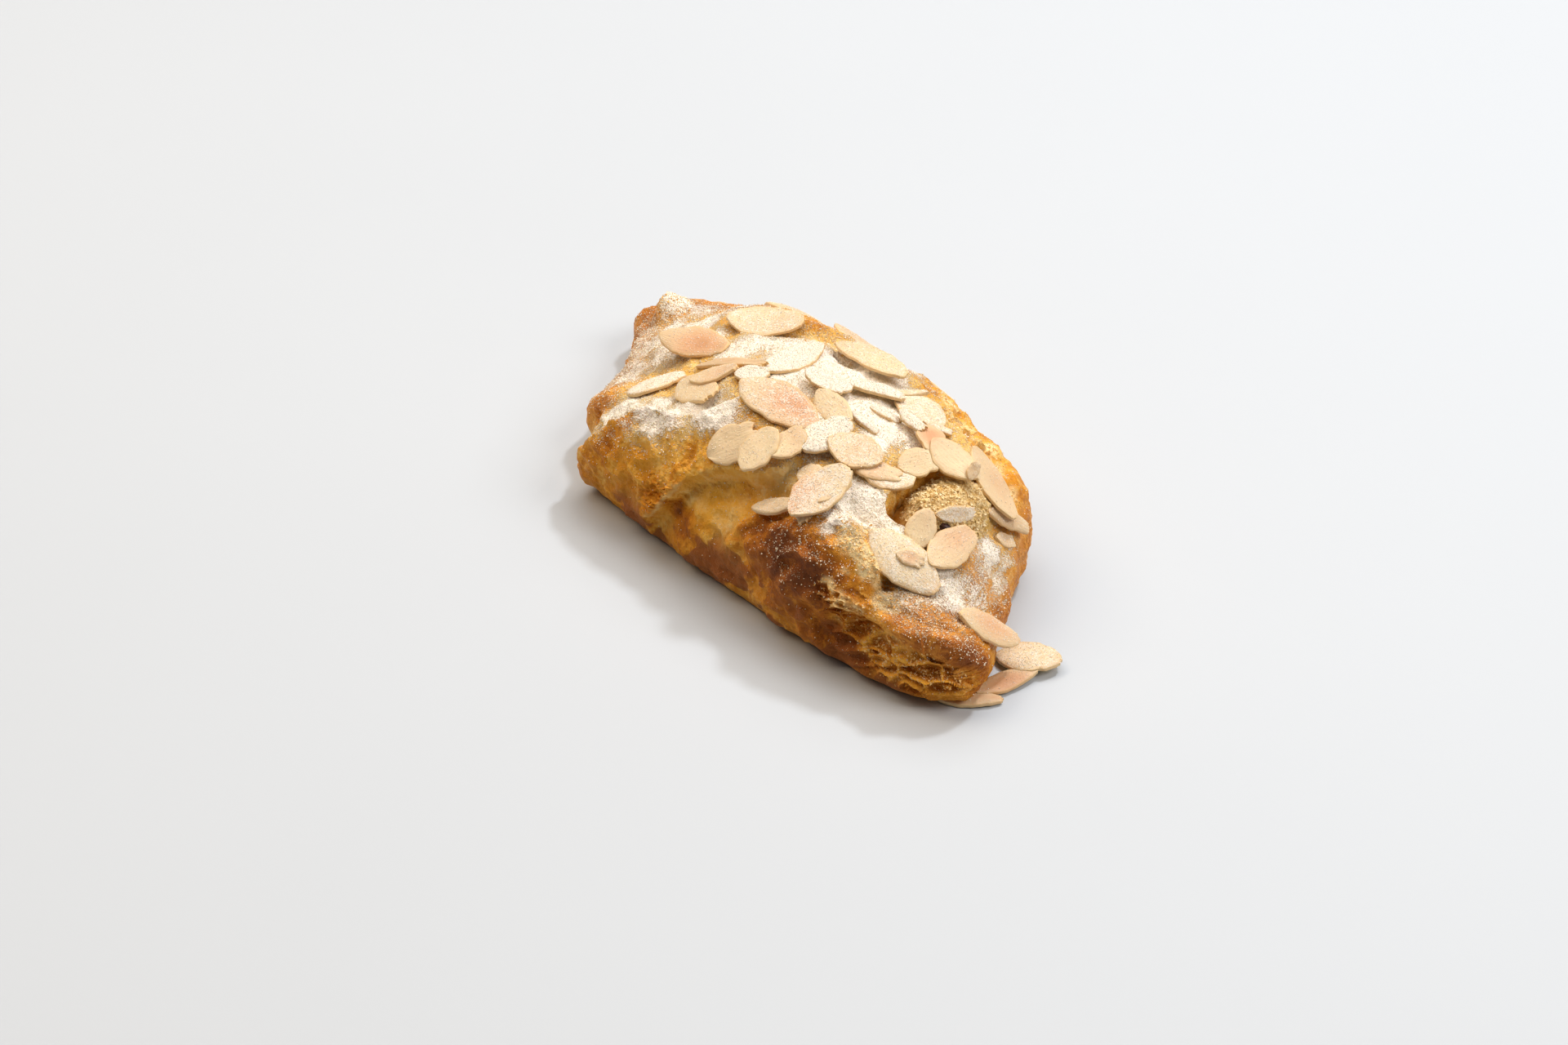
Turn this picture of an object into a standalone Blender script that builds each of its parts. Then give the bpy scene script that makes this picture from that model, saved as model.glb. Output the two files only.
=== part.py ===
"""Almond pastry: a laminated dough parcel folded over an almond filling, with flaked almonds baked on.

The frame is metres with +Z up and the underside on Z = 0. The parcel's length runs along X, and its
front flank faces -Y. Sizes below are millimetres and degrees unless their names say otherwise.
"""

import math

import bmesh
import bpy
import numpy as np
from mathutils import Matrix, Vector, noise
from mathutils.bvhtree import BVHTree

MM = 0.001
WELD = 1e-6
CRUST_COLOUR = (0.58, 0.34, 0.13)
FILLING_COLOUR = (0.72, 0.55, 0.27)

# Driving dimensions of the parcel.
FRAME_CENTRE = (-4.4, 3.6)
HEART = (-4.0, 5.0)
WAIST_HEIGHT = 8.0
GRID_CUTS = 22

# The widest line round the parcel, seen from above, anticlockwise from the near left corner.
OUTLINE = (
    (-58, -17), (-48, -27), (-12, -32), (25, -35), (50, -35), (65, -32), (72, -23), (63, -5),
    (54, 11), (44, 27), (16, 39), (-15, 40), (-48, 43), (-74, 43), (-86, 34), (-69, 3), (-64, -12),
)

# Height of the crown above the table at stations along X.
CROWN = ((-85, 14), (-70, 20), (-50, 30), (-20, 38), (10, 39), (35, 37), (55, 28), (70, 20))

# Flanks: exponents below 1 make the section fuller than an ellipse.
SPREAD_POWER = 0.75
RISE_POWER = 0.85
FOOT_SINE = 0.5
FOOT_POWER = 0.7


def closed_spline(points, steps=24):
    """A smooth closed curve through the points, as an array of plan positions."""
    corners = np.array(points, float)
    t = (np.arange(steps) / steps)[:, None]
    runs = []
    for i in range(len(corners)):
        a, b, c, d = (corners[(i + k) % len(corners)] for k in (-1, 0, 1, 2))
        bend = (2 * a - 5 * b + 4 * c - d) * t**2 + (3 * b - a - 3 * c + d) * t**3
        runs.append(0.5 * (2 * b + (c - a) * t + bend))
    return np.concatenate(runs)


def reach_of(headings):
    """Distance from the heart to the outline along each heading, in radians."""
    line = closed_spline(OUTLINE) - np.array(HEART)
    angles = np.arctan2(line[:, 1], line[:, 0])
    order = np.argsort(angles)
    reach = np.hypot(line[:, 0], line[:, 1])[order]
    return np.interp(headings, angles[order], reach, period=2 * math.pi)


def crown_height(x):
    """Height of the loaf's crown at x, smooth along the length."""
    stations, heights = np.array(CROWN, float).T
    offsets = np.linspace(-9, 9, 7)
    return np.mean([np.interp(x + offset, stations, heights) for offset in offsets], axis=0)


def loaf_surface(directions):
    """Moves unit directions out to the plain loaf, before any fold or crack."""
    flat = np.hypot(directions[:, 0], directions[:, 1])
    rise = directions[:, 2]
    heading = np.arctan2(directions[:, 1], directions[:, 0])
    reach = reach_of(heading) * flat**SPREAD_POWER
    x = HEART[0] + reach * np.cos(heading)
    y = HEART[1] + reach * np.sin(heading)
    above = WAIST_HEIGHT + (crown_height(x) - WAIST_HEIGHT) * np.clip(rise, 0, 1) ** RISE_POWER
    tuck = np.clip(-rise / FOOT_SINE, 0, 1) ** FOOT_POWER
    z = np.where(rise > 0, above, WAIST_HEIGHT * (1 - tuck))
    return np.stack([x, y, z], axis=1)


# Swellings and hollows: a point on the loaf, the radius over which it fades, and its height.
MOUNDS = (
    ((-36, -31, 20), 15, 1.6),
    ((24, -34, 23), 11, 2.6),
    ((34, -29, 27), 8, 1.6),
    ((60, -26, 20), 10, 2.2),
    ((-75, 31, 17), 5, 3.6),
    ((-83, 28, 12), 5, 2.2),
    ((-54, 2, 24), 10, -2.4),
    ((-40, -6, 29), 9, -3.2),
    ((3, -29, 27), 7, -3.2),
    ((-3, -31, 22), 6, -2.2),
    ((12, -28, 30), 6, -2.4),
    ((41, 25, 25), 9, 1.4),
    ((22, 31, 29), 6, -1.4),
    ((-8, 0, 40), 16, 1.5),
    ((-45, 28, 32), 14, 2.0),
)

# Folds and creases: a line on the loaf, the half width of its section, and its height.
RIDGES = (
    (((-72, 38, 18), (-48, 43, 24), (-20, 40, 30), (12, 36, 31), (40, 27, 26), (56, 13, 19)), 4.5, 1.2),
    (((-82, 35, 15), (-77, 29, 17), (-71, 22, 18)), 1.8, -2.2),
    (((46, -33, 20), (53, -32, 18), (60, -30, 16), (66, -26, 14)), 2.4, 1.6),
    (((-46, -32, 4), (-10, -36, 5), (24, -38, 5)), 1.6, 0.9),
    (((-30, -33, 10), (0, -35, 10), (26, -38, 10)), 1.4, -0.8),
    (((4, -33, 17), (8, -30, 25), (10, -27, 31)), 1.8, 1.3),
)

# Torn lips: the line of the edge, the side that drops away, the rise, the drop and how far each reaches.
LIPS = (
    (((-52, -26, 11), (-47, -26, 18), (-43, -24, 23), (-34, -20, 30), (-25, -20, 32), (-18, -16, 35),
      (-10, -8, 39)), (-0.45, 0.85, 0.1), 1.6, 2.4, 8, 12),
    (((-23, -33, 9), (-18, -32, 17), (-12, -30, 25), (-5, -27, 29), (6, -25, 32)),
     (0.8, -0.35, -0.25), 1.5, 2.6, 5, 9),
    (((28, -21, 33), (38, -24, 30), (45, -26, 26), (46, -31, 21), (41, -35, 15), (35, -37, 9)),
     (0.6, 0.3, 0.5), 1.8, 1.9, 5, 8),
    (((44, -34, 18), (53, -33, 17), (61, -31, 15), (67, -27, 12)),
     (0.2, -0.5, -0.8), 1.4, 1.8, 6, 8),
    (((-30, 25, 35), (-20, 30, 36), (-12, 28, 37), (0, 20, 39)), (0.6, -0.7, 0.2), 1.6, 2.2, 6, 10),
)
LIP_EDGE = 4.0

# Unevenness of the whole crust: the size of the lumps and how far they stand.
LUMPS = ((17, 1.3), (8, 0.7))
STILL_BELOW = 4.0


def nearest_on_line(points, line):
    """Distance and offset from each point to a line of straight runs."""
    nearest = np.full(len(points), np.inf)
    offset = np.zeros_like(points)
    for start, end in zip(line[:-1], line[1:]):
        start, run = np.array(start, float), np.array(end, float) - np.array(start, float)
        along = np.clip((points - start) @ run / (run @ run), 0, 1)
        apart = points - start - along[:, None] * run
        distance = np.linalg.norm(apart, axis=1)
        closer = distance < nearest
        nearest[closer] = distance[closer]
        offset[closer] = apart[closer]
    return nearest, offset


def smooth_step(value):
    """0 below 0, 1 above 1, and a smooth rise between them."""
    held = np.clip(value, 0, 1)
    return held * held * (3 - 2 * held)


def fold_relief(points):
    """How far folds, tears and swellings move each point of the loaf out along its normal."""
    relief = np.zeros(len(points))
    for centre, radius, height in MOUNDS:
        distance = np.linalg.norm(points - np.array(centre, float), axis=1)
        relief += height * np.exp(-((distance / radius) ** 2))
    for line, half_width, height in RIDGES:
        distance, _ = nearest_on_line(points, line)
        relief += height * np.exp(-((distance / half_width) ** 2))
    for line, side, rise, drop, rise_reach, drop_reach in LIPS:
        distance, offset = nearest_on_line(points, line)
        over = smooth_step(0.5 + offset @ np.array(side) / LIP_EDGE)
        raised = rise * np.exp(-((distance / rise_reach) ** 2))
        lowered = drop * np.exp(-((distance / drop_reach) ** 2))
        relief += (1 - over) * raised - over * lowered
    return relief


def lump_relief(points):
    """Smooth unevenness of the baked crust."""
    relief = np.zeros(len(points))
    for size, height in LUMPS:
        relief += [height * noise.noise(Vector(point) / size) for point in points]
    return relief


def vertex_normals(bm):
    """The mesh's vertex normals as an array."""
    bm.normal_update()
    return np.array([vert.normal for vert in bm.verts])


def set_places(bm, places):
    """Moves every vertex of the mesh to its row of places."""
    for vert, place in zip(bm.verts, places):
        vert.co = place


def dough_mesh(cuts):
    """The folded parcel in millimetres, worked from a subdivided cube."""
    bm = bmesh.new()
    bmesh.ops.create_cube(bm, size=2)
    bmesh.ops.subdivide_edges(bm, edges=bm.edges, cuts=cuts, use_grid_fill=True)
    cube = np.array([vert.co for vert in bm.verts])
    directions = np.tan(cube * math.pi / 4)
    directions /= np.linalg.norm(directions, axis=1)[:, None]
    places = loaf_surface(directions)
    set_places(bm, places)
    normals = vertex_normals(bm)
    moved = fold_relief(places) + lump_relief(places)
    moved *= smooth_step(places[:, 2] / STILL_BELOW)
    set_places(bm, places + normals * moved[:, None])
    mesh = bpy.data.meshes.new("dough")
    bm.to_mesh(mesh)
    bm.free()
    return mesh


# The almond filling: the middle and half sizes of the roll, and the lump that shows in the opening.
FILLING_CENTRE = (0.0, 2.0, 19.0)
FILLING_HALVES = (46.0, 16.0, 8.5)
FILLING_CUTS = 8
LUMP_CENTRE = (40.5, -1.0)
LUMP_REACH = 9.0
LUMP_RISE = 10.5
FILLING_BUMPS = ((9, 0.9),)
FILLING_GAP = 0.35

# The opening torn over the lump: its middle, heading, half length and half width.
OPENING_CENTRE = (39.0, -2.0)
OPENING_HEADING = 68.0
OPENING_HALF_LENGTH = 12.0
OPENING_HALF_WIDTH = 5.5
OPENING_FLOOR = 20.0
OPENING_TOP = 60.0
OPENING_SIDES = 18
OPENING_RAGGED = 0.8

# A dark toasted fragment on the lump: the middle and size of it.
SPECK_PLACE = (42.0, -2.5)
SPECK_SIZE = (3.6, 2.0, 1.4)

# Flaked almonds: half width at stations along one flake, as shares of its length and width.
FLAKE_STATIONS = ((0.0, 0.06), (0.1, 0.27), (0.33, 0.48), (0.6, 0.5), (0.84, 0.34), (1.0, 0.1))
FLAKE_THICKNESS = 1.0
FLAKE_SINK = 0.45
FLAKE_BEND = 0.03
FLAKE_BROKEN_HALF = 0.42
HEAD_STATION = 0.8
TABLE_LIFT = 0.75
TABLE_REACH = 300.0
SKY = 80.0
CAST_FROM = 25.0
UP = Vector((0, 0, 1))
GROUND_SAMPLES = (-0.35, 0, 0.35)

# Flakes from the lowest up: x and y of the middle, heading, length, width, pitch and roll from lying
# flat, and how blunt the broken head is, from 0 for a whole tip to 1 for a square break.
FLAKES = (
    (-36, 21, 25, 20, 12, 0, 0, 0.2),
    (-3, 22, -5, 24, 11, 0, 0, 0.1),
    (18, 16, 0, 15, 11, 0, 0, 0.3),
    (12, 18, 62, 11, 2.6, 0, 0, 0.7),
    (8, 11, 30, 15, 6, 0, 0, 0.5),
    (-1, 4, 10, 13, 8, 0, 0, 0.7),
    (-16, 9, 90, 20, 10, 0, 0, 0.2),
    (-29, 1, 5, 27, 3, 0, 0, 0.6),
    (-46, 8, 6, 23, 10, -18, 0, 0.2),
    (-45, -7, 60, 16, 8, 0, 0, 0.5),
    (-30, -9, -15, 20, 10, 0, 0, 0.4),
    (-28, -5, 20, 14, 8, 0, 0, 0.2),
    (-18, -3, 30, 9, 6, 0, 0, 0.9),
    (7, -2, -15, 14, 7, 0, 30, 0.2),
    (12, -10, 85, 15, 9, 0, 0, 0.6),
    (-4, -9, 0, 24, 12, 0, 0, 0.1),
    (7, -17, 80, 11, 8, 0, 0, 0.5),
    (-6, -22, 60, 14, 10, 0, 0, 0.9),
    (3, -21, 90, 13, 9, 0, 0, 0.2),
    (30, -8, 40, 12, 7, 0, 0, 0.4),
    (27, -9, 30, 12, 6, 0, 0, 0.6),
    (20, -9, 20, 14, 11, 0, 0, 0.2),
    (31, 0, 60, 10, 8, 0, 0, 0.9),
    (16, -19, 15, 8, 6, 0, 0, 0.5),
    (13, -26, 30, 12, 5, 0, 0, 0.4),
    (21, -27, -40, 7, 4, 0, 0, 0.9),
    (25, -21, 80, 10, 3, 0, 0, 0.5),
    (22, -22, 80, 18, 12, 0, 0, 0.2),
    (28, 7, -35, 10, 7, 0, 0, 0.6),
    (35, 7, 0, 14, 9, 0, 0, 0.3),
    (35, 12, -20, 12, 6, 12, 0, 0.3),
    (47, 13, 40, 14, 5, 0, 0, 0.5),
    (41, 16, 5, 20, 10, 0, 0, 0.1),
    (46, -3, 56, 12, 4, 0, 15, 0.6),
    (42, 7, 120, 5, 3, 30, 0, 0.6),
    (44, -13, 120, 11, 7, 20, 0, 0.2),
    (46, -21, 0, 21, 11, 0, 0, 0.2),
    (50, -10, 95, 17, 9, 0, 0, 0.4),
    (48, -21, 25, 7, 4, 0, 0, 0.9),
    (50, 10, 60, 7, 4, 0, 0, 0.8),
    (65, -13, 55, 20, 9, 6, 0, 0.2),
    (-44, 40, 5, 18, 9, 0, 0, 0.2),
    (-21, 38, -8, 20, 10, 0, 0, 0.2),
    (4, 37, -10, 19, 9, 0, 0, 0.4),
    (15, 7, 8, 9, 2.6, 0, 12, 0.7),
    (22, 8, -12, 10, 3.4, 0, 18, 0.8),
    (14, 1, 0, 9, 3, 0, -10, 0.7),
    (25, 14, 30, 8, 2.6, 0, 0, 0.8),
    (-66, 41, 5, 13, 7, 0, 0, 0.6),
)

# Flakes that slid off and lie on the table against the tip, in the same terms.
FALLEN = (
    (69, -22, 45, 15, 5, 0, 0, 0.3),
    (71, -12, 75, 17, 6, 3, 0, 0.3),
    (69, -2, 30, 16, 11, 6, 0, 0.3),
)


def filling_mesh(swell):
    """The almond filling in millimetres, or with a swell the hollow that holds it."""
    bm = bmesh.new()
    bmesh.ops.create_cube(bm, size=2)
    bmesh.ops.subdivide_edges(bm, edges=bm.edges, cuts=FILLING_CUTS, use_grid_fill=True)
    cube = np.array([vert.co for vert in bm.verts])
    directions = np.tan(cube * math.pi / 4)
    directions /= np.linalg.norm(directions, axis=1)[:, None]
    places = np.array(FILLING_CENTRE) + directions * np.array(FILLING_HALVES)
    apart = np.hypot(places[:, 0] - LUMP_CENTRE[0], (places[:, 1] - LUMP_CENTRE[1]) * 0.8)
    lifted = LUMP_RISE * np.exp(-((apart / LUMP_REACH) ** 2)) * smooth_step(directions[:, 2] + 0.5)
    places[:, 2] += lifted
    set_places(bm, places)
    normals = vertex_normals(bm)
    for size, height in FILLING_BUMPS:
        bumps = np.array([height * noise.noise(Vector(place) / size) for place in places])
        places = places + normals * bumps[:, None]
    set_places(bm, places + normals * swell)
    mesh = bpy.data.meshes.new("filling")
    bm.to_mesh(mesh)
    bm.free()
    return mesh


def opening_mesh():
    """A ragged oblong prism that opens the crust above the filling."""
    bm = bmesh.new()
    heading = math.radians(OPENING_HEADING)
    rings = []
    for height in (OPENING_FLOOR, OPENING_TOP):
        ring = []
        for i in range(OPENING_SIDES):
            angle = 2 * math.pi * i / OPENING_SIDES
            ragged = 1 + OPENING_RAGGED * math.sin(5.3 * i) / OPENING_HALF_WIDTH
            along = OPENING_HALF_LENGTH * math.cos(angle) * ragged
            across = OPENING_HALF_WIDTH * math.sin(angle) * ragged
            x = OPENING_CENTRE[0] + along * math.cos(heading) - across * math.sin(heading)
            y = OPENING_CENTRE[1] + along * math.sin(heading) + across * math.cos(heading)
            ring.append(bm.verts.new((x, y, height)))
        rings.append(ring)
    bm.faces.new(reversed(rings[0]))
    bm.faces.new(rings[1])
    for i in range(OPENING_SIDES):
        j = (i + 1) % OPENING_SIDES
        bm.faces.new((rings[0][i], rings[0][j], rings[1][j], rings[1][i]))
    mesh = bpy.data.meshes.new("opening")
    bm.to_mesh(mesh)
    bm.free()
    return mesh


def flake_shape(length, width, blunt, bend):
    """One flake lying on the origin along X: corner places, and faces that point outwards."""
    places = []
    for share, half in FLAKE_STATIONS:
        spread = half + (FLAKE_BROKEN_HALF - half) * blunt if share > HEAD_STATION else half
        curl = bend * length * (2 * share - 1) ** 2
        x = length * (share - 0.5) * (1 - 0.1 * blunt)
        for side in (-1, 1):
            for height in (0, FLAKE_THICKNESS):
                places.append(Vector((x, side * spread * width, height + curl)))
    faces = [(0, 1, 3, 2)]
    for i in range(0, 4 * (len(FLAKE_STATIONS) - 1), 4):
        faces += [(i, i + 4, i + 5, i + 1), (i + 2, i + 3, i + 7, i + 6)]
        faces += [(i + 1, i + 5, i + 7, i + 3), (i, i + 2, i + 6, i + 4)]
    last = 4 * (len(FLAKE_STATIONS) - 1)
    faces.append((last, last + 2, last + 3, last + 1))
    return places, faces


def cast_down(trees, start, direction):
    """The nearest hit below a start, over every tree, as distance and normal."""
    best = (None, None)
    for tree in trees:
        _, normal, _, distance = tree.ray_cast(start, direction)
        if distance is not None and (best[0] is None or distance < best[0]):
            best = (distance, normal)
    return best


def ground_normal(trees, x, y, width):
    """Mean normal of what lies under a flake."""
    total = Vector((0, 0, 0))
    for along in GROUND_SAMPLES:
        for across in GROUND_SAMPLES:
            start = Vector((x + along * width, y + across * width, SKY))
            _, normal = cast_down(trees, start, -UP)
            total += normal if normal is not None else UP
    return total.normalized()


def lay_flake(trees, row, number):
    """A flake resting on the dough and the flakes already laid: places and faces."""
    x, y, heading, length, width, pitch, roll, blunt = row
    places, faces = flake_shape(length, width, blunt, FLAKE_BEND * math.sin(2.4 * number))
    up = ground_normal(trees, x, y, width)
    along = Vector((math.cos(math.radians(heading)), math.sin(math.radians(heading)), 0))
    along = (along - up * along.dot(up)).normalized()
    pose = Matrix((along, up.cross(along), up)).transposed()
    pose = pose @ Matrix.Rotation(math.radians(-pitch), 3, "Y") @ Matrix.Rotation(math.radians(roll), 3, "X")
    distance, _ = cast_down(trees, Vector((x, y, SKY)), -UP)
    origin = Vector((x, y, SKY - distance))
    turned = [origin + pose @ place for place in places]
    gaps = []
    underside = turned[0::2]
    underside += [(left + right) / 2 for left, right in zip(underside[0::2], underside[1::2])]
    for place in underside:
        distance, _ = cast_down(trees, place + up * CAST_FROM, -up)
        if distance is not None:
            gaps.append(distance - CAST_FROM)
    drop = min(gaps) + FLAKE_SINK
    return [place - up * drop for place in turned], faces


def speck_mesh(filling, swell):
    """A small dark fragment half sunk in the filling's top, or with a swell the room that it needs."""
    x, y = SPECK_PLACE
    distance, _ = cast_down([tree_of_mesh(filling)], Vector((x, y, SKY)), -UP)
    bm = bmesh.new()
    bmesh.ops.create_icosphere(bm, subdivisions=1, radius=0.5)
    bmesh.ops.scale(bm, vec=[size + 2 * swell for size in SPECK_SIZE], verts=bm.verts)
    bmesh.ops.translate(bm, vec=(x, y, SKY - distance), verts=bm.verts)
    mesh = bpy.data.meshes.new("speck")
    bm.to_mesh(mesh)
    bm.free()
    return mesh


def triangulated(mesh):
    """Splits every face into triangles, which a Boolean reads without doubt."""
    bm = bmesh.new()
    bm.from_mesh(mesh)
    bmesh.ops.triangulate(bm, faces=bm.faces)
    bm.to_mesh(mesh)
    bm.free()
    return mesh


def in_frame(mesh):
    """Moves a mesh from the design's millimetres into the frame's metres."""
    shift = Matrix.Translation((-FRAME_CENTRE[0], -FRAME_CENTRE[1], 0))
    mesh.transform(Matrix.Scale(MM, 4) @ shift)
    return mesh


def add_object(name, mesh, collection):
    """A new object of the mesh in the collection."""
    obj = bpy.data.objects.new(name, mesh)
    collection.objects.link(obj)
    return obj


def add_collection(name):
    """A new collection under the scene."""
    collection = bpy.data.collections.new(name)
    bpy.context.scene.collection.children.link(collection)
    return collection


def hide_cutter(obj):
    """Marks an object as a cutter, which isn't part of the model."""
    obj.hide_render = True
    obj.display_type = "WIRE"
    return obj


def add_boolean(obj, operation, operand):
    """A Boolean on the object with another object or a whole collection."""
    modifier = obj.modifiers.new(operation.lower(), "BOOLEAN")
    modifier.operation = operation
    modifier.solver = "EXACT"
    if isinstance(operand, bpy.types.Collection):
        modifier.operand_type = "COLLECTION"
        modifier.collection = operand
    else:
        modifier.object = operand


def apply_modifiers(obj):
    """Replaces the object's mesh with the one that its modifiers give."""
    bpy.context.view_layer.update()
    evaluated = obj.evaluated_get(bpy.context.evaluated_depsgraph_get())
    mesh = bpy.data.meshes.new_from_object(evaluated)
    obj.modifiers.clear()
    obj.data = mesh


def keep_largest_body(mesh):
    """Drops loose scraps and the walls of sealed hollows, and leaves one closed body."""
    bm = bmesh.new()
    bm.from_mesh(mesh)
    bmesh.ops.remove_doubles(bm, verts=bm.verts, dist=WELD)
    unseen = set(bm.faces)
    bodies = []
    while unseen:
        body = [unseen.pop()]
        for face in body:
            for edge in face.edges:
                for near in edge.link_faces:
                    if near in unseen:
                        unseen.remove(near)
                        body.append(near)
        bodies.append(body)
    bodies.sort(key=len)
    for body in bodies[:-1]:
        bmesh.ops.delete(bm, geom=body, context="FACES")
    loose = [vert for vert in bm.verts if not vert.link_faces]
    bmesh.ops.delete(bm, geom=loose, context="VERTS")
    bm.to_mesh(mesh)
    bm.free()


def flatten_underside(mesh):
    """Joins the flat faces of the underside into one."""
    bm = bmesh.new()
    bm.from_mesh(mesh)
    under = [face for face in bm.faces if all(abs(vert.co.z) < 1e-6 for vert in face.verts)]
    inner = {edge for face in under for edge in face.edges if all(near in under for near in edge.link_faces)}
    bmesh.ops.dissolve_edges(bm, edges=list(inner), use_verts=True)
    bm.to_mesh(mesh)
    bm.free()


def table_corners():
    """Corners of the level that fallen flakes lie on, just clear of the underside's plane."""
    signs = ((-1, -1), (1, -1), (1, 1), (-1, 1))
    return [Vector((TABLE_REACH * x, TABLE_REACH * y, TABLE_LIFT)) for x, y in signs]


def tree_of_mesh(mesh):
    """A search tree over a mesh."""
    places = [vert.co for vert in mesh.vertices]
    return BVHTree.FromPolygons(places, [face.vertices for face in mesh.polygons])


def lay_flakes(dough):
    """Every flake in its place, as meshes in millimetres."""
    table = BVHTree.FromPolygons(table_corners(), [(0, 1, 2, 3)])
    crust = tree_of_mesh(dough)
    meshes = []
    trees = [table]
    for number, row in enumerate(FALLEN + FLAKES):
        if number == len(FALLEN):
            trees.append(crust)
        places, faces = lay_flake(trees, row, number)
        trees.append(BVHTree.FromPolygons(places, faces))
        mesh = bpy.data.meshes.new("flake")
        mesh.from_pydata(places, [], faces)
        meshes.append(mesh)
    return meshes


def plain_material(name, colour, roughness):
    """A Principled material of one colour."""
    material = bpy.data.materials.new(name)
    material.use_nodes = True
    shader = material.node_tree.nodes["Principled BSDF"]
    shader.inputs["Base Color"].default_value = (*colour, 1)
    shader.inputs["Roughness"].default_value = roughness
    material.diffuse_color = (*colour, 1)
    return material


def finish(obj, material):
    """Gives an object its one material."""
    obj.data.materials.clear()
    obj.data.materials.append(material)
    for face in obj.data.polygons:
        face.material_index = 0


def build_filling(parts, cutters):
    """The roll of almond filling with its dark fragment."""
    mesh = triangulated(filling_mesh(0))
    speck = hide_cutter(add_object("speck", in_frame(speck_mesh(mesh, 0)), cutters))
    filling = add_object("filling", in_frame(mesh), parts)
    add_boolean(filling, "UNION", speck)
    apply_modifiers(filling)
    keep_largest_body(filling.data)
    finish(filling, plain_material("almond_filling", FILLING_COLOUR, 0.6))
    return filling


def build_pastry(parts, cutters):
    """The dough parcel with its opening, its flakes fused on and its hollow for the filling."""
    dough = dough_mesh(GRID_CUTS)
    flakes = add_collection("flakes")
    for mesh in lay_flakes(dough):
        add_object("flake", in_frame(triangulated(mesh)), flakes)
    pastry = add_object("pastry", in_frame(dough), parts)
    flatten_underside(pastry.data)
    triangulated(pastry.data)
    hollow = triangulated(filling_mesh(FILLING_GAP))
    speck_room = speck_mesh(filling_mesh(0), FILLING_GAP)
    opening = add_object("opening", in_frame(opening_mesh()), cutters)
    rooms = [add_object("hollow", in_frame(hollow), cutters)]
    rooms.append(add_object("speck_room", in_frame(speck_room), cutters))
    add_boolean(pastry, "DIFFERENCE", hide_cutter(opening))
    add_boolean(pastry, "UNION", flakes)
    for room in rooms:
        add_boolean(pastry, "DIFFERENCE", hide_cutter(room))
    apply_modifiers(pastry)
    keep_largest_body(pastry.data)
    for obj in list(flakes.objects):
        bpy.data.objects.remove(obj)
    bpy.data.collections.remove(flakes)
    finish(pastry, plain_material("baked_dough", CRUST_COLOUR, 0.55))
    return pastry


def main():
    """Builds the pastry and its filling in an empty scene."""
    for obj in list(bpy.data.objects):
        bpy.data.objects.remove(obj)
    parts = add_collection("almond_pastry")
    cutters = add_collection("cutters")
    build_pastry(parts, cutters)
    build_filling(parts, cutters)


if __name__ == "__main__":
    main()
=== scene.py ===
"""Looks of the almond pastry: crust, filling, flaked almonds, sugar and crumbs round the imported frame.

Shapes are worked in millimetres with the underside on z = 0, as in the part's source. Each finished piece
is then moved into the frame's metres. Angles are degrees unless a name says otherwise.
"""

import logging
import math
from collections.abc import Callable, Iterable, Iterator, Sequence
from contextlib import contextmanager
from dataclasses import dataclass, field
from enum import Enum

import bpy
import numpy as np
from mathutils import Matrix, Vector, noise
from mathutils.bvhtree import BVHTree


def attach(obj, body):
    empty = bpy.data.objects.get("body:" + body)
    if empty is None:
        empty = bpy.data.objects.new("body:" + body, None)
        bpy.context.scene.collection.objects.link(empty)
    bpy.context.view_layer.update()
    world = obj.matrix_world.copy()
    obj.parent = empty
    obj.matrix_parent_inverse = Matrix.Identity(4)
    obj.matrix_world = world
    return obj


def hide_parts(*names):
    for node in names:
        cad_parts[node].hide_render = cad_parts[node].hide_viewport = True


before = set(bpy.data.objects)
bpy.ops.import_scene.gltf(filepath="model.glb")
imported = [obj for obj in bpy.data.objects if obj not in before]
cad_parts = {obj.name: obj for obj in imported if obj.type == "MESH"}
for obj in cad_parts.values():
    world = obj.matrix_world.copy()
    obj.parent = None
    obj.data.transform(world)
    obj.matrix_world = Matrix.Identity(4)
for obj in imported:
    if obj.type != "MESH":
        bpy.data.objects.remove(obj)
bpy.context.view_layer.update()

log = logging.getLogger("almond_pastry")

Array = np.ndarray
Point = tuple[float, float, float]
Line = tuple[Point, ...]
Colour = tuple[float, float, float]
Piece = bpy.types.Object
Material = bpy.types.Material
Group = bpy.types.NodeTree
Node = bpy.types.Node
Socket = bpy.types.NodeSocket

MM = 0.001
FRAME_CENTRE = (-4.4, 3.6)
UP = Vector((0, 0, 1))


class Pick(Enum):
    """What a selection in edit mode is made of."""

    EDGES = (False, True, False)
    FACES = (False, False, True)


class Seat(Enum):
    """What a flaked almond lies on."""

    TABLE = "table"
    CRUST = "crust"


# Work on meshes.


def only(obj: Piece) -> None:
    """Selects one object alone and makes it active.

    Args:
        obj: The object.
    """
    bpy.ops.object.select_all(action="DESELECT")
    obj.select_set(True)
    bpy.context.view_layer.objects.active = obj


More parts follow.
